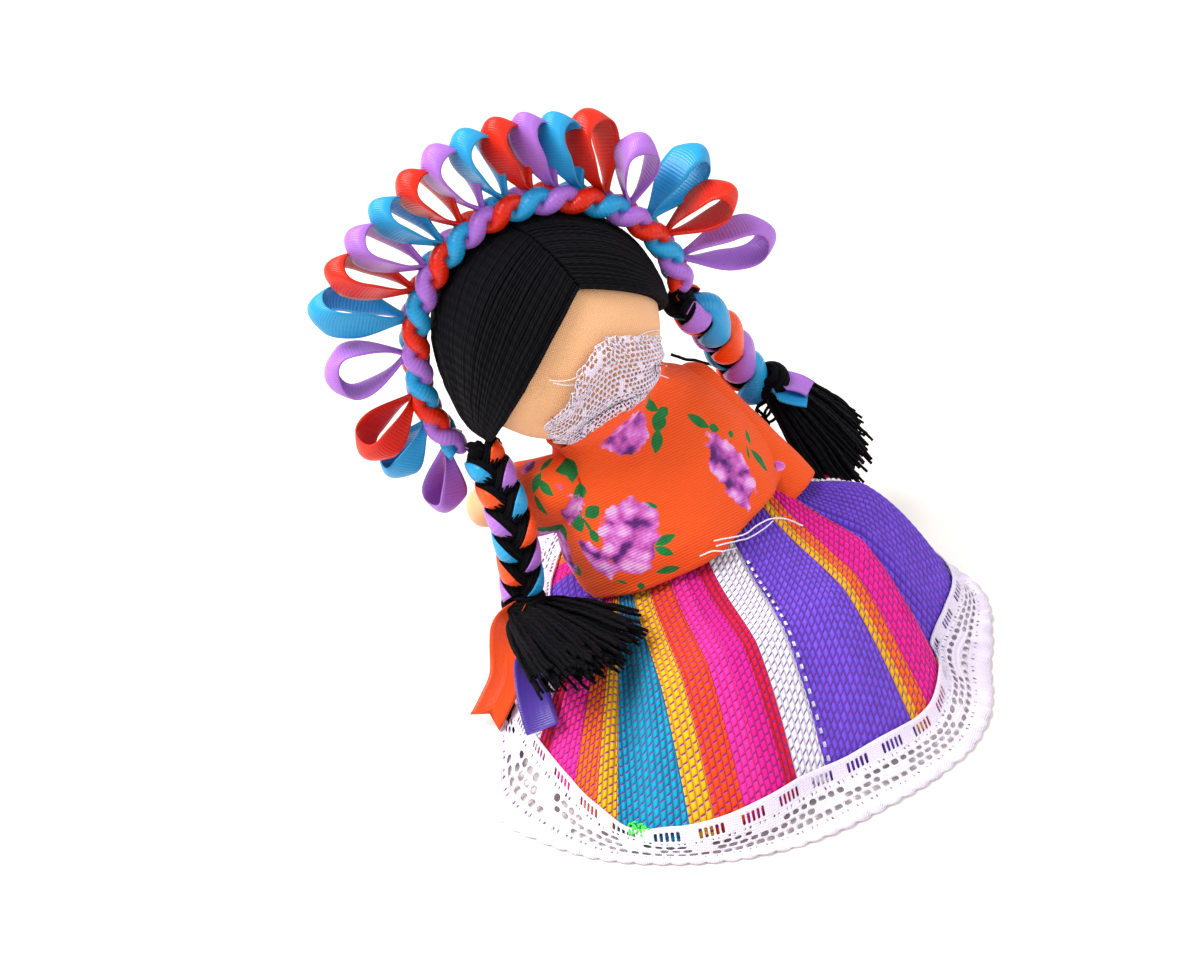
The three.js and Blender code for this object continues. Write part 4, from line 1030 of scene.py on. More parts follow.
def blouse_cloth(bearing, share, inset):
    """A point of the blouse's cloth, clear of the head and drawn up to the neckline in front"""
    room = HAIR_OUTSIDE + BLOUSE_OFF_HEAD - inset
    point = clear_of_head(blouse_point(bearing, share, inset), room)
    within = min(bearing - NECKLINE[0][0], NECKLINE[-1][0] - bearing) / 20
    if share < NECKLINE_SHARE or within <= 0:
        return point
    drawn = min(1.0, within) * ((share - NECKLINE_SHARE) / (1.02 - NECKLINE_SHARE)) ** 2
    skin_room = HEAD_RADIUS + BLOUSE_OFF_HEAD - inset
    drawn_up = point.lerp(neckline_point(bearing, skin_room), drawn)
    return clear_of_head(drawn_up, room + (skin_room - room) * drawn)


def make_blouse(finish):
    bearings = [360 / BLOUSE_COLUMNS * k - 180 for k in range(BLOUSE_COLUMNS)]
    shares = [BLOUSE_FIRST_SHARE + k / 38 for k in range(39)]
    rings = []
    for bearing in bearings:
        outer = [blouse_cloth(bearing, s, 0) for s in shares]
        inner = [blouse_cloth(bearing, s, COTTON_THICKNESS) for s in shares]
        rings.append(outer + inner[::-1])
    blouse = skin_rings("printed_blouse", rings, finish, lambda i, j: (i / BLOUSE_COLUMNS, j / 78),
                        closed_path=True)
    settle(blouse, "torso", "rose_print_cotton", "blouse")
    return blouse


def make_sleeve(node, pivot, way, length, droop, finish):
    across, deep = square_to(way, Vector((1, 0, 0)))
    outer = []
    inner = []
    cap = SLEEVE_TOP_RADIUS * 0.98
    for k in range(SLEEVE_ROWS + 1):
        along = -cap + k / SLEEVE_ROWS * (length + cap)
        radius = SLEEVE_TOP_RADIUS + (SLEEVE_MOUTH_RADIUS - SLEEVE_TOP_RADIUS) * max(0.0, along) / length
        if along < 0:
            radius = math.sqrt(max(0.3, SLEEVE_TOP_RADIUS ** 2 - along ** 2))
        ring = []
        lining = []
        for j in range(SLEEVE_COLUMNS):
            turn = 2 * math.pi * j / SLEEVE_COLUMNS
            side = across * math.cos(turn) + deep * math.sin(turn)
            rumple = noise.noise(side * 2.0 + way * (along * 0.12))
            fold = SLEEVE_FOLD * rumple * min(1, max(0.0, along + 4) / 6)
            hang = droop * max(0.0, -side.z) * min(1, max(0.0, along + 2) / 6)
            centre = pivot + way * along - Vector((0, 0, hang))
            ring.append(centre + side * (radius + fold))
            lining.append(centre + side * max(0.2, radius + fold - COTTON_THICKNESS))
        outer.append(ring)
        inner.append(lining)
    columns = [[ring[j] for ring in outer] + [ring[j] for ring in inner[::-1]] for j in range(SLEEVE_COLUMNS)]
    sleeve = skin_rings("printed_" + node, columns, finish,
                        lambda i, j: (i / SLEEVE_COLUMNS, j / (2 * SLEEVE_ROWS + 2)), closed_path=True)
    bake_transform(sleeve)
    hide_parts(node)
    return sleeve


def seen_spots(spots, tree, reach):
    """Frames, in metres, of printed spots placed by pixel on the cloth that the camera sees there"""
    frames = []
    for x, y, half_width, half_height, turn in spots:
        place, normal, _, distance = tree.ray_cast(CAMERA_PLACE, camera_ray(x, y))
        if place is None:
            raise RuntimeError("a printed spot misses the blouse at %d, %d" % (x, y))
        scale = distance * CAMERA_SENSOR / CAMERA_LENS / PHOTO_WIDTH
        angle = math.radians(turn)
        wanted = CAMERA_RIGHT * math.cos(angle) + CAMERA_UP * math.sin(angle)
        across, deep = square_to(normal, wanted)
        axes = Matrix((across, deep, normal)).transposed().to_4x4()
        size = Matrix.Diagonal((half_width * scale, half_height * scale, reach * MM, 1))
        frames.append(Matrix.Translation(place) @ axes @ size)
    return frames


def hidden_spots():
    roses = []
    leaves = []
    for bearing, share in HIDDEN_ROSES:
        for shift, rise, size, group in ((0, 0, 4.6, roses), (16, 0.1, 1.8, leaves),
                                         (-15, -0.12, 1.8, leaves), (13, -0.14, 1.5, leaves)):
            place = blouse_point(bearing + shift, share + rise, 0)
            outward = (place - WAIST_CENTRE - TRUNK_UP * ((share + rise) * TRUNK_LENGTH)).normalized()
            across, deep = square_to(outward, TRUNK_UP)
            axes = Matrix((across, deep, outward)).transposed().to_4x4()
            stretched = Matrix.Diagonal((size * 1.2 * MM, size * MM, 3 * MM, 1))
            group.append(Matrix.Translation(place * MM) @ axes @ stretched)
    return roses, leaves


class MakeBlouse(bpy.types.Operator):
    """Make the printed blouse and its sleeves"""
    bl_idname = "doll.make_blouse"
    bl_label = "Blouse"

    def execute(self, context):
        plain = bpy.data.materials.new("Unprinted cotton")
        pieces = [make_blouse(plain),
                  make_sleeve("sleeve_right", SHOULDER_RIGHT, ARM_RIGHT_WAY, SLEEVE_RIGHT_LENGTH,
                              SLEEVE_RIGHT_HANG, plain),
                  make_sleeve("sleeve_left", SHOULDER_LEFT, ARM_LEFT_WAY, SLEEVE_LEFT_LENGTH, 0, plain)]
        tree = surface_tree(pieces)
        roses, leaves = hidden_spots()
        finish = rose_cotton(seen_spots(ROSES, tree, 4) + roses, seen_spots(LEAVES, tree, 3) + leaves)
        for piece in pieces:
            piece.data.materials[0] = finish
        bpy.data.materials.remove(plain)
        return {"FINISHED"}


def round_table(rows):
    """A size given at bearings, read between them on a smooth closed curve"""
    bearings = np.array([row[0] for row in rows], dtype=float)
    values = np.array([row[1] for row in rows], dtype=float)

    def at(bearing):
        turned = (bearing - bearings[0]) % 360 + bearings[0]
        k = int(np.searchsorted(bearings, turned, side="right")) - 1
        count = len(rows)
        around = [values[(k + n) % count] for n in (-1, 0, 1, 2)]
        low = bearings[k]
        high = bearings[(k + 1) % count] + (360 if k + 1 == count else 0)
        return curve_between(*around, (turned - low) / (high - low))
    return at


hem_radius = round_table(HEM_RADII)
lace_width = round_table(LACE_WIDTHS)


def fold_height(bearing):
    total = 0.0
    for middle, half, height in FOLDS:
        away = abs((bearing - middle + 540) % 360 - 180)
        if away < half:
            total += height * math.cos(away / half * math.pi / 2) ** 2
    return total


def floor_point(bearing, radius, height):
    turn = math.radians(bearing)
    return HEM_CENTRE + Vector((radius * math.cos(turn), radius * math.sin(turn), height))


def waist_bearing(bearing):
    hem, waist = zip(*WAIST_BEARINGS)
    return float(np.interp((bearing + 180) % 360 - 180, hem, waist))


def skirt_point(bearing, share):
    """A point of the skirt's outer face, from 0 at the waist to 1 at the hem"""
    gathered = waist_bearing(bearing)
    turn = math.radians(gathered)
    top = (WAIST_CENTRE + TRUNK_LEFT * ((BLOUSE_HALF_WIDTH - WAIST_INSET) * math.cos(turn))
           + TRUNK_BACK * ((BLOUSE_HALF_DEPTH - WAIST_INSET) * math.sin(turn)))
    top = hung(top, gathered, BLOUSE_RISE, 1)
    foot = floor_point(bearing, hem_radius(bearing), HEM_HEIGHT)
    point = top.lerp(foot, share)
    puff = SKIRT_PUFF * (top.z / WAIST_CENTRE.z) * math.sin(math.pi * share)
    fold = fold_height(bearing) * math.sin(math.pi * share * 0.86)
    point.z += (puff + fold) * (0.2 + 0.8 * min(1, share * 2))
    return point


def even_bearings(spacing):
    """Hem bearings an even distance apart along the hem, an even number of them"""
    fine = np.arange(-180, 180.01, 0.25)
    places = [floor_point(b, hem_radius(b), 0) for b in fine]
    lengths = np.concatenate([[0], np.cumsum([(q - p).length for p, q in zip(places, places[1:])])])
    count = 4 * round(lengths[-1] / spacing / 4)
    return np.interp(np.arange(count) * lengths[-1] / count, lengths, fine), lengths[-1]


def stripe_places(bearings, length):
    """For each bearing, its distance round the hem, its stripe's middle and how much the stripe narrows"""
    places = np.arange(len(bearings)) * length / len(bearings)
    stops = [-181.0] + [stop for stop, _ in STRIPES]
    rows = []
    for bearing, place in zip(bearings, places):
        k = next(n for n in range(1, len(stops)) if bearing < stops[n])
        low = max(stops[k - 1], -180.0)
        high = min(stops[k], 180.0)
        middle = float(np.interp((low + high) / 2, bearings, places))
        wide = (skirt_point(low, 1) - skirt_point(high, 1)).length
        narrow = (skirt_point(low, 0) - skirt_point(high, 0)).length
        rows.append((place, middle, min(1.0, max(0.3, narrow / wide)), k))
    return rows


def float_height(across, along):
    """How far a yarn float stands up at a place in the weave, from 0 to 1"""
    column = across / FLOAT_WIDTH
    row = along / FLOAT_LENGTH + (math.floor(column) * 0.5) % 1 + FLOAT_LEAN * (column % 1)
    return (1 - abs(2 * (column % 1) - 1) ** 2.2) * (1 - abs(2 * (row % 1) - 1) ** 4)


class MakeSkirt(bpy.types.Operator):
    """Make the striped skirt with its raised yarn floats"""
    bl_idname = "doll.make_skirt"
    bl_label = "Skirt"

    def execute(self, context):
        relief = context.scene.doll_sizes.relief / MM
        bearings, length = even_bearings(SKIRT_COLUMN)
        stripes = stripe_places(bearings, length)
        lining = [0.985 - 0.985 * k / 9 for k in range(10)]
        rings = []
        uvs = []
        for bearing, (place, middle, narrowing, _) in zip(bearings, stripes):
            outward = floor_point(bearing, 0.35, 0) - HEM_CENTRE
            lift = (Vector((0, 0, 1)) + outward).normalized()
            drop = (skirt_point(bearing, 1) - skirt_point(bearing, 0)).length * 1.08
            outer = []
            column = []
            for row in range(SKIRT_ROWS + 1):
                share = row / SKIRT_ROWS
                across = middle + (place - middle) * (narrowing + (1 - narrowing) * share)
                along = drop * share
                edge = min(1, (1 - share) * 12)
                raised = relief * float_height(across, along) * edge - 0.1
                point = skirt_point(bearing, share) + lift * raised
                point.z = max(point.z, 0.9)
                outer.append(point)
                column.append((across, along))
            inner = []
            for share in lining:
                thickness = SKIRT_THICKNESS if share < 0.98 else SKIRT_HEM_THICKNESS
                point = skirt_point(bearing, share) - lift * thickness
                point.z = max(point.z, 0.15)
                inner.append(point)
                column.append((middle, drop * share))
            rings.append(outer + inner)
            uvs.append(column)
        count = len(rings[0])
        skirt = skin_rings("woven_skirt", rings, striped_weave(), lambda i, j: uvs[i % len(uvs)][j % count],
                           closed_path=True)
        dyes = [linear(STRIPE_DYES[key]) for _, key in STRIPES]
        colour = skirt.data.color_attributes.new("Stripe", "FLOAT_COLOR", "CORNER")
        values = np.empty((len(skirt.data.loops), 4), dtype=np.float32)
        for face in skirt.data.polygons:
            columns = [v // count for v in face.vertices]
            first = min(columns) if max(columns) - min(columns) < 2 else max(columns)
            values[face.loop_start:face.loop_start + face.loop_total] = dyes[stripes[first][3] - 1]
        colour.data.foreach_set("color", values.ravel())
        settle(skirt, "torso", "striped_weave", "skirt")
        dots = []
        for n in range(SILVER_DOTS):
            here = 0.13 + 0.84 * n / SILVER_DOTS
            first = skirt_point(SILVER_BEARING, here)
            second = skirt_point(SILVER_BEARING, here + 0.3 / SILVER_DOTS)
            lift = Vector((0, 0, 0.45))
            dots.append([first + lift, (first + second) / 2 + lift * 1.2, second + lift])
        silver = lay_yarns("silver_thread", dots, SILVER_RADIUS * MM, silver_thread(), 7)
        settle(silver, "torso", "striped_weave")
        random.seed(31)
        tuft = []
        for _ in range(TUFT_ENDS):
            start = skirt_point(TUFT_BEARING + random.uniform(-1.4, 1.4), random.uniform(0.93, 1.0))
            way = Vector((random.uniform(-1, 0.6), random.uniform(-1.2, 0.2), random.uniform(0.3, 1.3)))
            bend = Vector((random.uniform(-0.5, 0.5), random.uniform(-0.5, 0.5), -0.5))
            tuft.append([start + Vector((0, 0, 0.2)) + way * t + bend * t * t for t in (0, 0.4, 0.8, 1.2)])
        green = lay_yarns("green_yarn_end", tuft, TUFT_RADIUS * MM, bright_yarn(), 5, 0.3, 8)
        settle(green, "torso", "striped_weave")
        return {"FINISHED"}


def lace_cells(columns, rows, span_of, hole_at):
    """Cells with a hole each: span_of gives a row's cell length and shift, hole_at a hole's half sizes"""
    points = []
    faces = []
    index = {}

    def corner(u, v):
        key = (round(u, 4), round(v, 4))
        if key not in index:
            index[key] = len(points)
            points.append(key)
        return index[key]
    for j, (low, high) in enumerate(zip(rows, rows[1:])):
        span, shift = span_of(j)
        middle_v = (low + high) / 2
        steps = [k / 2 for k in range(2 * span + 1)]
        for i in range(columns // span):
            left = i * span + shift
            middle_u = left + span / 2
            outline = [(left + s, low) for s in steps] + [(left + span, middle_v)]
            outline += [(left + s, high) for s in steps[::-1]] + [(left, middle_v)]
            outer = [corner(*p) for p in outline]
            half_u, half_v, squareness = hole_at(i, j)
            if half_u == 0:
                faces.append(outer)
                continue
            ring = []
            for u, v in outline:
                turn = math.atan2((v - middle_v) / (high - low), (u - middle_u) / span)
                wide = math.copysign(abs(math.cos(turn)) ** squareness, math.cos(turn))
                tall = math.copysign(abs(math.sin(turn)) ** squareness, math.sin(turn))
                points.append((middle_u + half_u * span * wide, middle_v + half_v * (high - low) * tall))
                ring.append(len(points) - 1)
            for k in range(len(outline)):
                n = (k + 1) % len(outline)
                faces.append([outer[k], outer[n], ring[n], ring[k]])
    return points, faces


def solid_lace(name, points, faces, place, thickness, ends_meet):
    """Give a flat lace pattern its place and thickness"""
    mesh = bpy.data.meshes.new(name)
    mesh.from_pydata([tuple(place(u, v) * MM) for u, v in points], [], faces)
    mesh.materials.append(lace_finish())
    made = bpy.data.objects.new(name, mesh)
    bpy.context.scene.collection.objects.link(made)
    if ends_meet:
        weld = made.modifiers.new("Join the ends", "WELD")
        weld.merge_threshold = 0.00002
    wall = made.modifiers.new("Thickness", "SOLIDIFY")
    wall.thickness = thickness
    wall.offset = 0
    apply_modifiers(made).data.shade_smooth()
    return made


class MakeLace(bpy.types.Operator):
    """Make the lace round the hem and under the chin"""
    bl_idname = "doll.make_lace"
    bl_label = "Lace"

    def execute(self, context):
        thickness = context.scene.doll_sizes.lace_thread
        random.seed(11)
        bearings = even_bearings(LACE_CELL)[0]
        fine = np.concatenate([bearings, bearings[:3] + 360])

        def hem_hole(i, j):
            if j == 1:
                return (0.34, 0.4, 0.35) if i % 8 < 5 else (0, 0, 1)
            if j in (3, 4, 5):
                bare = noise.noise(Vector((i * 0.31, j * 0.7, 5))) < -0.2
                return (0, 0, 1) if bare else (random.uniform(0.34, 0.44), random.uniform(0.28, 0.43), 0.9)
            if j in (2, 6):
                return (random.uniform(0.1, 0.26), random.uniform(0.16, 0.3), 1) if i % 3 else (0, 0, 1)
            return (0, 0, 1)

        def hem_place(u, v):
            bearing = float(np.interp(u, np.arange(len(fine)), fine))
            ripple = LACE_RIPPLE * noise.noise(Vector((u * 0.2, v * 2, 3)))
            if v < LACE_SEWN_SHARE:
                over = skirt_point(bearing, 1 - 0.05 * (1 - v / LACE_SEWN_SHARE))
                outward = floor_point(bearing, LACE_OUT_FROM_SKIRT, 0) - HEM_CENTRE
                return over + Vector((0, 0, LACE_OVER_SKIRT)) + outward
            free = (v - LACE_SEWN_SHARE) / (1 - LACE_SEWN_SHARE)
            picot = LACE_PICOT * abs(math.sin(math.pi * u / 3)) * (v > 0.95)
            radius = hem_radius(bearing) + LACE_OUT_FROM_SKIRT + lace_width(bearing) * free + picot
            edge = max(HEM_HEIGHT, skirt_point(bearing, 1).z) + LACE_OVER_SKIRT
            height = edge - (edge - 0.5) * min(1, free * 1.8) + max(-0.15, ripple) * free
            return floor_point(bearing, radius, height)
        points, faces = lace_cells(len(bearings), LACE_ROWS, lambda j: LACE_SPANS[j], hem_hole)
        hem = solid_lace("gathered_hem_lace", points, faces, hem_place, thickness, True)
        settle(hem, "torso", "white_lace", "hem_lace")

        azimuths = [row[0] for row in COLLAR_ROWS]
        middles = [row[1] for row in COLLAR_ROWS]
        halves = [row[2] for row in COLLAR_ROWS]
        cloth = surface_tree([bpy.data.objects["printed_blouse"]])

        def collar_hole(i, j):
            if random.random() < 0.06 or noise.noise(Vector((i * 0.35, j * 0.5, 8))) > 0.42:
                return (0, 0, 1)
            return (random.uniform(0.38, 0.46), random.uniform(0.34, 0.46), 0.75)

        def collar_place(u, v):
            share = min(1.0, max(0.0, u / COLLAR_CELLS))
            azimuth = azimuths[0] + (azimuths[-1] - azimuths[0]) * share
            middle = float(np.interp(azimuth, azimuths, middles))
            half = float(np.interp(azimuth, azimuths, halves))
            ruffle = 0.5 * math.sin(v * 14 + share * 5) + 0.6 * noise.noise(Vector((share * 9, v * 6, 1)))
            fray = 1 + 0.14 * noise.noise(Vector((u * 1.7, 4, 2)))
            way = head_way(azimuth, middle + half * fray * (2 * v - 1))
            point = on_head(way, HEAD_RADIUS + COLLAR_OFF_HEAD + ruffle * 0.5)
            depth = (point - CAMERA_EYE).length
            look = (point - CAMERA_EYE) / depth
            covered = cloth.ray_cast(CAMERA_PLACE, look, (depth + COLLAR_OFF_CLOTH) * MM)
            if covered[0] is not None:
                depth = covered[3] / MM - COLLAR_OFF_CLOTH
            return CAMERA_EYE + look * depth
        rows = [k / COLLAR_LACE_ROWS for k in range(COLLAR_LACE_ROWS + 1)]
        points, faces = lace_cells(COLLAR_CELLS, rows, lambda j: (1, 0.5 * (j % 2)), collar_hole)
        collar = solid_lace("gathered_lace_collar", points, faces, collar_place, thickness, False)
        settle(collar, "torso", "white_lace", "lace_collar")
        return {"FINISHED"}


# Crown

def crown_way(angle):
    turn = math.radians(angle)
    return CROWN_LEFT * math.cos(turn) + CROWN_TOP * math.sin(turn)


def crown_point(angle, rise=0.0):
    past = max(0, angle - CROWN_DROOP_FROM) / (CROWN_END - CROWN_DROOP_FROM)
    return HEAD_CENTRE + crown_way(angle) * (CROWN_RADIUS + CROWN_DROOP * past + rise)


def plait_centres(route_point, across_at, turns, phase, spread, depth, count):
    """The middle line of one strand of a plait"""
    middles = [route_point(k / (count - 1)) for k in range(count)]
    ways = tangents(middles)
    line = []
    for k, (middle, way) in enumerate(zip(middles, ways)):
        across, deep = square_to(way, across_at)
        angle = 2 * math.pi * turns * k / (count - 1) + phase
        line.append(middle + across * (spread * math.sin(angle)) + deep * (depth * math.sin(2 * angle)))
    return middles, line


class MakeCrown(bpy.types.Operator):
    """Plait the crown from three satin ribbons and draw out its loops"""
    bl_idname = "doll.make_crown"
    bl_label = "Crown"

    def execute(self, context):
        def on_crown(share):
            return crown_point(CROWN_START + (CROWN_END - CROWN_START) * share)
        for i, key in enumerate(LOOP_COLOURS):
            phase = 2 * math.pi * i / 3
            middles, line = plait_centres(on_crown, CROWN_FRONT, CROWN_TURNS, phase,
                                          CROWN_SPREAD, CROWN_SWING, CROWN_STEPS)
            ways = tangents(line)
            rings = []
            for k, (centre, way) in enumerate(zip(line, ways)):
                out = (middles[k] - HEAD_CENTRE).normalized()
                across, deep = square_to(way, out)
                crossing = 2 * math.pi * CROWN_TURNS * k / (CROWN_STEPS - 1) + phase
                plump = 1 + CROWN_SWELL * math.cos(4 * crossing)
                half_width, half_depth = (size * plump for size in CROWN_STRAND)
                rings.append(ellipse(centre, across, deep, half_width, half_depth, 14))
            strand = skin_rings("crown_satin_" + key, rings, satin(key), lambda a, b: (b * 0.5, a * 0.48))
            settle(strand, "head", key + "_satin", "crown_ribbon_" + key)
        for number, (tip_angle, foot_angle, length, width, twist, lean) in enumerate(LOOPS, 1):
            key = LOOP_COLOURS[(number - 1) % 3]
            foot = crown_point(foot_angle, LOOP_FOOT)
            tip = crown_point(tip_angle, LOOP_FOOT + length)
            outward = ((tip - foot).normalized() + CROWN_FRONT * math.tan(math.radians(lean))).normalized()
            eye = square_to(outward, CROWN_FRONT)[0]
            eye = Matrix.Rotation(math.radians(twist), 3, outward) @ eye
            side = outward.cross(eye)
            rings = []
            line = []
            for k in range(LOOP_STEPS + 1):
                turn = 2 * math.pi * k / LOOP_STEPS
                along = length * (1 - math.cos(turn)) / 2
                bulge = (width / 2 - RIBBON_THICKNESS / 2) * math.sin(turn) * math.sin(turn / 2) * 1.3
                line.append(foot + outward * along + side * bulge)
            for k, (centre, way) in enumerate(zip(line, tangents(line))):
                along = length * (1 - math.cos(2 * math.pi * k / LOOP_STEPS)) / 2
                spread = min(1, along / 8.5)
                half = RIBBON_WIDTH / 2 * (LOOP_NECK_SHARE + (1 - LOOP_NECK_SHARE) * soft_step(spread))
                tip = max(0.0, along / length - 0.45) / 0.55
                normal = way.cross(eye).normalized()
                cup = 0.5 * (1 - spread)
                ring = ribbon_ring(centre, eye, normal, half, RIBBON_THICKNESS, cup)
                edges = [((p - centre).dot(eye) / half) ** 2 for p in ring]
                rings.append([p - outward * (LOOP_TIP_ROUNDING * edge * tip * tip)
                              for p, edge in zip(ring, edges)])
            uv = ribbon_uv(RIBBON_WIDTH)
            step_length = 2.1 * length / LOOP_STEPS
            loop = skin_rings("satin_loop_%02d" % number, rings, satin(key),
                              lambda a, b: uv(a * step_length, b))
            settle(loop, "head", key + "_satin", "ribbon_loop_%02d" % number)
        return {"FINISHED"}


# Side plaits

def make_plait(name, route, turns, turned, ribbon_keys, ribbon, knot, tasselled):
    """Plait three strands of yarn, each with a ribbon along its outer side"""
    cover, reach_out, dip = ribbon
    first = Vector(route[0])
    rooted = [first + (first - Vector(route[1])).normalized() * PLAIT_ROOT] + list(route)
    base = smooth_route(rooted, PLAIT_STEPS)
    halfway = PLAIT_STEPS // 2
    along_plait = (base[halfway + 1] - base[halfway]).normalized()
    broadside = along_plait.cross(CAMERA_EYE - base[halfway]).normalized()
    across_at = Matrix.Rotation(math.radians(turned), 3, along_plait) @ broadside

    def on_route(share):
        return base[round(share * (PLAIT_STEPS - 1))]
    for i, key in enumerate(ribbon_keys):
        phase = 2 * math.pi * i / 3
        middles, line = plait_centres(on_route, across_at, turns, phase, PLAIT_SPREAD, PLAIT_SWING,
                                      PLAIT_STEPS)
        ways = tangents(line)
        across = Vector((0.3, 0.5, 0.8))
        places = [(0.0, 0.0)] + [(2 * math.pi * n / 6, 0.62) for n in range(6)]
        places += [(2 * math.pi * (n + 0.5) / 12, 1.28) for n in range(12)]
        yarns = [[] for _ in places]
        frames = []
        for k, (centre, way) in enumerate(zip(line, ways)):
            across, deep = square_to(way, across)
            frames.append((centre, across, deep))
            fullness = min(1.0, 0.3 + k / 9)
            for yarn, (start, reach) in zip(yarns, places):
                turn = start + k * 0.02
                yarn.append(centre + (across * math.cos(turn) + deep * math.sin(turn)) * (reach * fullness))
        strand = lay_yarns("%s_yarns_%d" % (name, i + 1), yarns, PLAIT_YARN_RADIUS * MM, black_yarn(),
                           6, 0.25, i)
        settle(strand, name, "black_yarn", "%s_strand_%d" % (name, i + 1))
        rings = []
        for k, (centre, across, deep) in enumerate(frames):
            out = centre - middles[k]
            if out.length < 0.3:
                out = across
            out = square_to(ways[k], out)[0]
            side = ways[k].cross(out)
            edge = abs(math.sin(2 * math.pi * turns * k / (PLAIT_STEPS - 1) + phase))
            grown = min(1.0, max(0.05, 11 * k / PLAIT_STEPS - 0.1))
            reach = 0.9 + (reach_out - dip * (1 - min(1.0, edge * 1.35) ** 2) - 0.9) * grown
            opening = cover * grown
            spread = [opening * (2 * n / RIBBON_COLUMNS - 1) for n in range(RIBBON_COLUMNS + 1)]
            bow = [out * math.cos(s) + side * (math.sin(s) * PLAIT_RIBBON_BROADENING) for s in spread]
            top = [centre + way_out * reach for way_out in bow]
            under = [centre + way_out * (reach - 0.25) for way_out in bow]
            rings.append(top + under[::-1])
        uv = ribbon_uv(RIBBON_WIDTH)
        strip = skin_rings("%s_satin_%s" % (name, key), rings, satin(key), lambda a, b: uv(a * 0.3, b))
        settle(strip, name, key + "_satin")
    down = (base[-1] - base[-2]).normalized()
    knot_radius, past, right, up, nearer = knot
    middle = (base[-1] + down * past + CAMERA_RIGHT * right + CAMERA_UP * up
              + (CAMERA_EYE - base[-1]).normalized() * nearer)
    start = middle - down * (TIE_LENGTH / 2)
    end = middle + down * (TIE_LENGTH / 2)
    make_tie(name, start, end, across_at, knot_radius)
    make_tassel(name, end, *tasselled)


def make_tie(name, start, end, across_at, knot_radius):
    """Yarn wound round the end of the plait into a ball-like knot"""
    axis = (end - start).normalized()
    across, deep = square_to(axis, across_at)
    random.seed(5)
    lines = []
    for wrap in range(TIE_WRAPS):
        tilt = random.uniform(-0.8, 0.8)
        middle = (wrap + 0.5) / TIE_WRAPS
        line = []
        for k in range(25):
            turn = 2 * math.pi * k / 24
            size = knot_radius * (0.35 + 0.62 * math.sin(math.pi * middle))
            along = (middle - 0.5) * knot_radius * 1.5 + tilt * math.sin(turn + wrap)
            line.append((start + end) / 2 + axis * along + across * (size * math.cos(turn))
                        + deep * (size * math.sin(turn)))
        lines.append(line)
    core = [ellipse(start + (end - start) * s, across, deep, knot_radius * r, knot_radius * r, 14)
            for s, r in ((-0.1, 0.5), (0.1, 0.7), (0.5, 0.8), (0.9, 0.7), (1.1, 0.5))]
    knot = skin_rings(name + "_knot", core, black_yarn(), lambda i, j: (j / 14, i / 4))
    settle(knot, name, "black_yarn", name + "_tie")
    settle(lay_yarns(name + "_wraps", lines, WRAP_RADIUS * MM, black_yarn(), 6, 0.4, 2), name, "black_yarn")


def make_tassel(name, start, tip, half_width, count, seed):
    """The plait's loose yarn ends, fanned from the tie"""
    random.seed(seed)
    sizes = bpy.context.scene.doll_sizes
    way = (tip - start).normalized()
    flat = way.cross(Vector((0, 0, 1))).normalized()
    lift = flat.cross(way).normalized()
    if lift.z < 0:
        lift = -lift
    length = (tip - start).length
    lines = []
    for _ in range(count):
        turn = random.uniform(0, 2 * math.pi)
        reach = math.sqrt(random.random())
        wide = reach * math.cos(turn)
        thick = reach * math.sin(turn)
        stretch = length * random.uniform(0.9, 1.16) * (1 - 0.16 * abs(wide))
        bend = random.uniform(-1.6, 1.6)
        curl = random.uniform(-0.8, 0.8)
        arch = random.uniform(0.4, 1.6) * max(0.0, thick)
        line = []
        for k in range(TASSEL_POINTS):
            t = k / (TASSEL_POINTS - 1)
            fan = t ** 0.6
            spread = TASSEL_ROOT_HALF_WIDTH + (half_width - TASSEL_ROOT_HALF_WIDTH) * fan
            depth = TASSEL_ROOT_HALF_DEPTH + TASSEL_DEPTH_GROWTH * fan
            line.append(start + way * (stretch * t - 1.2)
                        + flat * (wide * spread + bend * t * t * (1 - 0.3 * t))
                        + lift * (thick * depth + curl * t * t + arch * math.sin(math.pi * t)))
        lines.append(line)
    tassel = lay_yarns(name + "_tassel_yarns", lines, sizes.tassel_yarn, black_yarn(), 6, 0.9, seed)
    settle(tassel, name, "black_yarn", name + "_tassel")


def ribbon_end(name, node, body, key, route, width_way, notch, curl, gather):
    """A free end of ribbon along a route, gathered at its start, and cut straight or to a fork"""
    line = smooth_route(route, TAIL_STEPS + 1)
    ways = tangents(line)
    length = sum((b - a).length for a, b in zip(line, line[1:]))
    rings = []
    for k in range(TAIL_STEPS + 1):
        section = []
        for n in list(range(RIBBON_COLUMNS + 1)) + list(range(RIBBON_COLUMNS, -1, -1)):
            s = 2 * n / RIBBON_COLUMNS - 1
            shortened = k / TAIL_STEPS * (1 - notch * (1 - abs(s)) / length)
            at = shortened * TAIL_STEPS
            low = min(int(at), TAIL_STEPS - 1)
            centre = line[low].lerp(line[low + 1], at - low)
            across, deep = square_to(ways[low].lerp(ways[low + 1], at - low).normalized(), width_way)
            turn = Matrix.Rotation(math.radians(curl * shortened), 3, ways[low])
            face = 1 if len(section) <= RIBBON_COLUMNS else -1
            opened = min(1.0, shortened * 3.2)
            full = gather + (1 - gather) * soft_step(opened)
            cup = 0.4 + 2.2 * (1 - full)
            section.append(centre + turn @ across * (s * full * RIBBON_WIDTH / 2)
                           + turn @ deep * (face * RIBBON_THICKNESS / 2 + cup * (s * s - 0.3)))
        rings.append(section)
    uv = ribbon_uv(RIBBON_WIDTH)
    tail = skin_rings(name, rings, satin(key), lambda a, b: uv(a * length / TAIL_STEPS, b))
    settle(tail, body, key + "_satin", node)


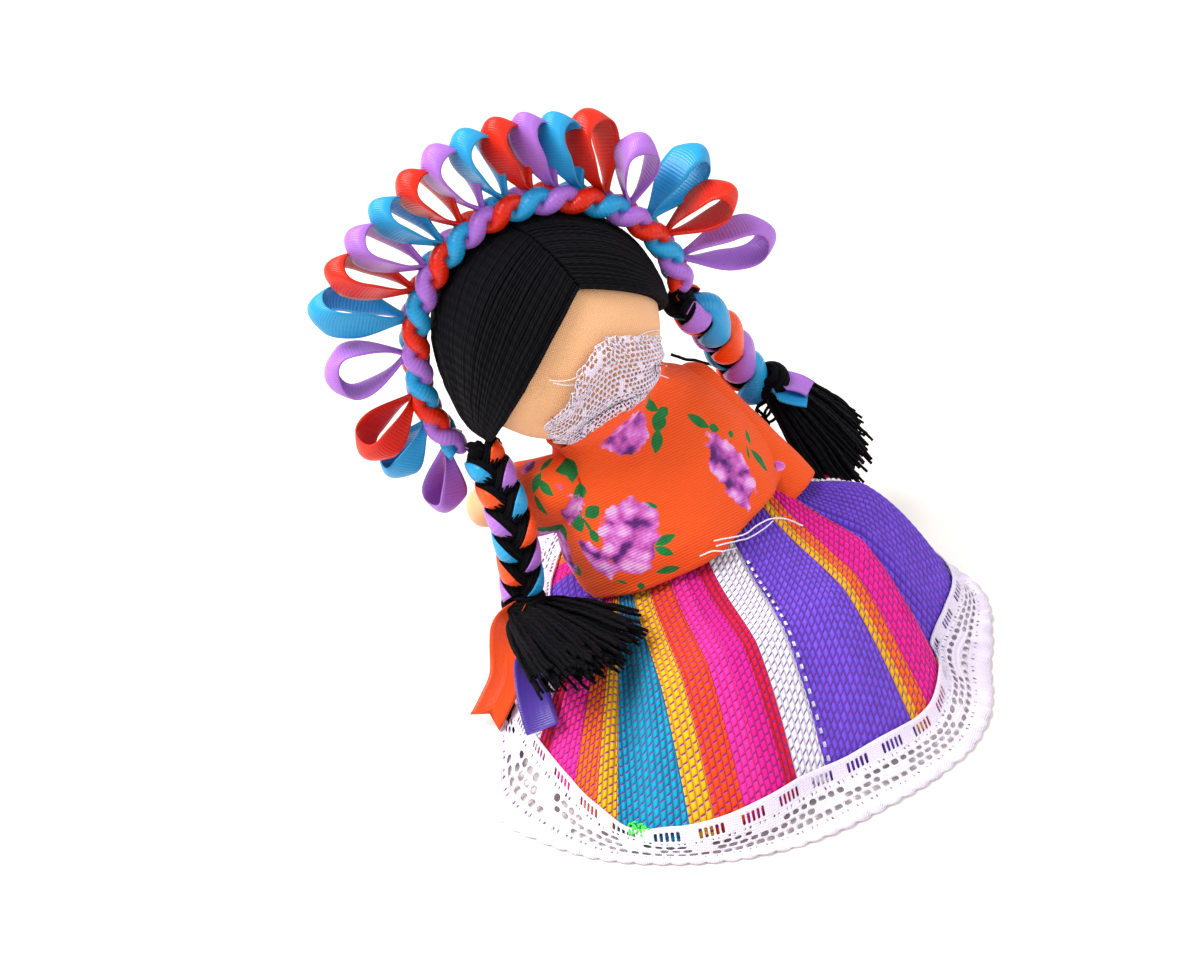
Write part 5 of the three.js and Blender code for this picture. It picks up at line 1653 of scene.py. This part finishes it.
class MakePlaits(bpy.types.Operator):
    """Make the side plaits with their ribbons, ties, tassels and ribbon ends"""
    bl_idname = "doll.make_plaits"
    bl_label = "Plaits"

    def execute(self, context):
        make_plait("plait_right", RIGHT_PLAIT, RIGHT_PLAIT_TURNS, 0, ("blue", "lilac", "orange"),
                   RIGHT_PLAIT_RIBBON, RIGHT_TIE,
                   (RIGHT_TASSEL_TIP, RIGHT_TASSEL_HALF_WIDTH, TASSEL_YARNS, 21))
        make_plait("plait_left", LEFT_PLAIT, LEFT_PLAIT_TURNS, LEFT_PLAIT_TURNED, ("orange", "blue", "lilac"),
                   LEFT_PLAIT_RIBBON, LEFT_TIE,
                   (LEFT_TASSEL_TIP, LEFT_TASSEL_HALF_WIDTH, TASSEL_YARNS, 22))
        ribbon_end("satin_end_orange", "ribbon_tail_orange", "plait_right", "orange", ORANGE_TAIL,
                   Vector((0.8, -0.6, 0)), 4, 0, 0.35)
        ribbon_end("satin_end_purple", "ribbon_tail_purple", "plait_right", "purple", PURPLE_TAIL,
                   Vector((0.81, 0.245, -0.54)), 0, 70, 0.6)
        knot_depth = (Vector(LEFT_PLAIT[-1]) - CAMERA_EYE).length
        half_turned = CAMERA_UP * 0.62 + CAMERA_UP.cross(CAMERA_RIGHT) * 0.78
        for key, pixels, nearer in (("blue", BLUE_TAIL, 5.5), ("lilac", LILAC_TAIL, 3.5)):
            route = [CAMERA_EYE + camera_ray(x, y) * (knot_depth - nearer) for x, y in pixels]
            ribbon_end("satin_end_" + key, "ribbon_tail_" + key, "plait_left", key, route, half_turned,
                       0, 0, 0.5)
        return {"FINISHED"}


class MakeThreads(bpy.types.Operator):
    """Lay the loose threads at the waist, the chin and the hem, and the loose yarns of the left tie"""
    bl_idname = "doll.make_threads"
    bl_label = "Loose threads"

    def execute(self, context):
        radius = context.scene.doll_sizes.thread
        under = ("woven_skirt", "printed_blouse", "printed_sleeve_left", "gathered_hem_lace", "stuffed_head")
        tree = surface_tree([bpy.data.objects[name] for name in under], square_corners(0.5), [(0, 1, 2, 3)])

        def seen_line(pixels, lift):
            """A line through pixels of the photograph, laid on what the camera sees there"""
            line = []
            last = None
            for pixel in smooth_route([(x, y, 0) for x, y in pixels], 24):
                way = camera_ray(pixel.x, pixel.y)
                depth = tree.ray_cast(CAMERA_PLACE, way)[3] / MM - lift
                last = depth if last is None else min(max(depth, last - 0.5), last + 0.5)
                line.append(CAMERA_EYE + way * last)
            return line
        waist = [seen_line(pixels, 0.9) for pixels in WAIST_THREADS]
        settle(lay_yarns("waist_threads", waist, radius, white_thread(), 6, 0.4, 4), "torso", "white_lace")
        chin = [seen_line(pixels, 0.7) for pixels in CHIN_THREADS]
        threads = lay_yarns("chin_threads", chin, radius * 0.7, white_thread(), 6, 0.3, 5)
        settle(threads, "torso", "white_lace")
        hem = [seen_line(HEM_YARN, 0.6)]
        hem_yarn = lay_yarns("hem_yarn", hem, HEM_YARN_RADIUS * MM, black_yarn(), 7, 0.3, 6)
        settle(hem_yarn, "torso", "black_yarn")
        end = Vector(LEFT_PLAIT[-1])
        knot = end + (end - Vector(LEFT_PLAIT[-2])).normalized() * TIE_YARNS_PAST
        depth = (knot - CAMERA_EYE).length - TIE_YARNS_NEARER
        loose = []
        for pixels in TIE_YARNS:
            loose.append([CAMERA_EYE + camera_ray(p.x, p.y) * depth
                          for p in smooth_route([(x, y, 0) for x, y in pixels], 24)])
        tie_yarns = lay_yarns("tie_yarns", loose, TIE_YARN_RADIUS * MM, black_yarn(), 7, 0.9, 7)
        settle(tie_yarns, "plait_left", "black_yarn")
        return {"FINISHED"}


class MakeStage(bpy.types.Operator):
    """Make the floor, the lights and the camera"""
    bl_idname = "doll.make_stage"
    bl_label = "Stage"

    def execute(self, context):
        scene = context.scene
        camera = bpy.data.objects.new("Camera", bpy.data.cameras.new("Camera"))
        camera.data.lens = CAMERA_LENS
        camera.data.sensor_width = CAMERA_SENSOR
        camera.data.sensor_fit = "HORIZONTAL"
        camera.data.clip_start = 0.01
        axes = Matrix((CAMERA_RIGHT, CAMERA_UP, CAMERA_RIGHT.cross(CAMERA_UP))).transposed().to_4x4()
        camera.matrix_world = Matrix.Translation(CAMERA_PLACE) @ axes
        scene.collection.objects.link(camera)
        scene.camera = camera
        mesh = bpy.data.meshes.new("Floor")
        mesh.from_pydata([tuple(corner) for corner in square_corners(FLOOR_HALF)], [], [(0, 1, 2, 3)])
        finish, tree = start_finish("Pale matt tabletop", 0.9, {"Specular IOR Level": 0.2})
        place = add_node(tree, "ShaderNodeTexCoord").outputs["Object"]
        grain = add_node(tree, "ShaderNodeTexNoise", {}, {"Vector": place, "Scale": 400, "Detail": 3})
        shaded = tint(tree, linear("F3EFE9"), grain.outputs["Fac"], 0.98, 1.01)
        tree.links.new(shaded.outputs[0], tree.nodes["Principled BSDF"].inputs["Base Color"])
        mesh.materials.append(finish)
        floor = bpy.data.objects.new("Floor", mesh)
        scene.collection.objects.link(floor)
        world = bpy.data.worlds.new("Pale room")
        world.use_nodes = True
        world.node_tree.nodes["Background"].inputs["Color"].default_value = linear("F9F9FC")
        world.node_tree.nodes["Background"].inputs["Strength"].default_value = ROOM_LIGHT
        scene.world = world
        for name, place, size, power in LIGHTS:
            light = bpy.data.lights.new(name, "AREA")
            light.size = size
            light.energy = power
            lamp = bpy.data.objects.new(name, light)
            lamp.location = place
            aim = LIGHTS_AIM - Vector(place)
            lamp.rotation_euler = aim.to_track_quat("-Z", "Y").to_euler()
            scene.collection.objects.link(lamp)
        scene.view_settings.view_transform = "Standard"
        return {"FINISHED"}


OPERATORS = (MakeStage, MakeHead, MakeHair, MakeBody, MakeBlouse, MakeSkirt, MakeLace, MakeCrown, MakePlaits,
             MakeThreads)


class DollPanel(bpy.types.Panel):
    """Lists the pieces of the doll"""
    bl_idname = "VIEW3D_PT_rag_doll"
    bl_label = "Rag Doll"
    bl_space_type = "VIEW_3D"
    bl_region_type = "UI"
    bl_category = "Rag Doll"

    def draw(self, context):
        for operator in OPERATORS:
            self.layout.operator(operator.bl_idname)
        for group in (context.scene.doll_colours, context.scene.doll_sizes):
            for key in group.bl_rna.properties.keys():
                if key not in ("rna_type", "name"):
                    self.layout.prop(group, key)


CLASSES = (DollColours, DollSizes) + OPERATORS + (DollPanel,)


def register():
    for cls in CLASSES:
        bpy.utils.register_class(cls)
    bpy.types.Scene.doll_colours = bpy.props.PointerProperty(type=DollColours)
    bpy.types.Scene.doll_sizes = bpy.props.PointerProperty(type=DollSizes)


def unregister():
    del bpy.types.Scene.doll_sizes
    del bpy.types.Scene.doll_colours
    for cls in reversed(CLASSES):
        bpy.utils.unregister_class(cls)


def main():
    register()
    for operator in OPERATORS:
        group, name = operator.bl_idname.split(".")
        getattr(getattr(bpy.ops, group), name)()


if __name__ == "__main__":
    main()
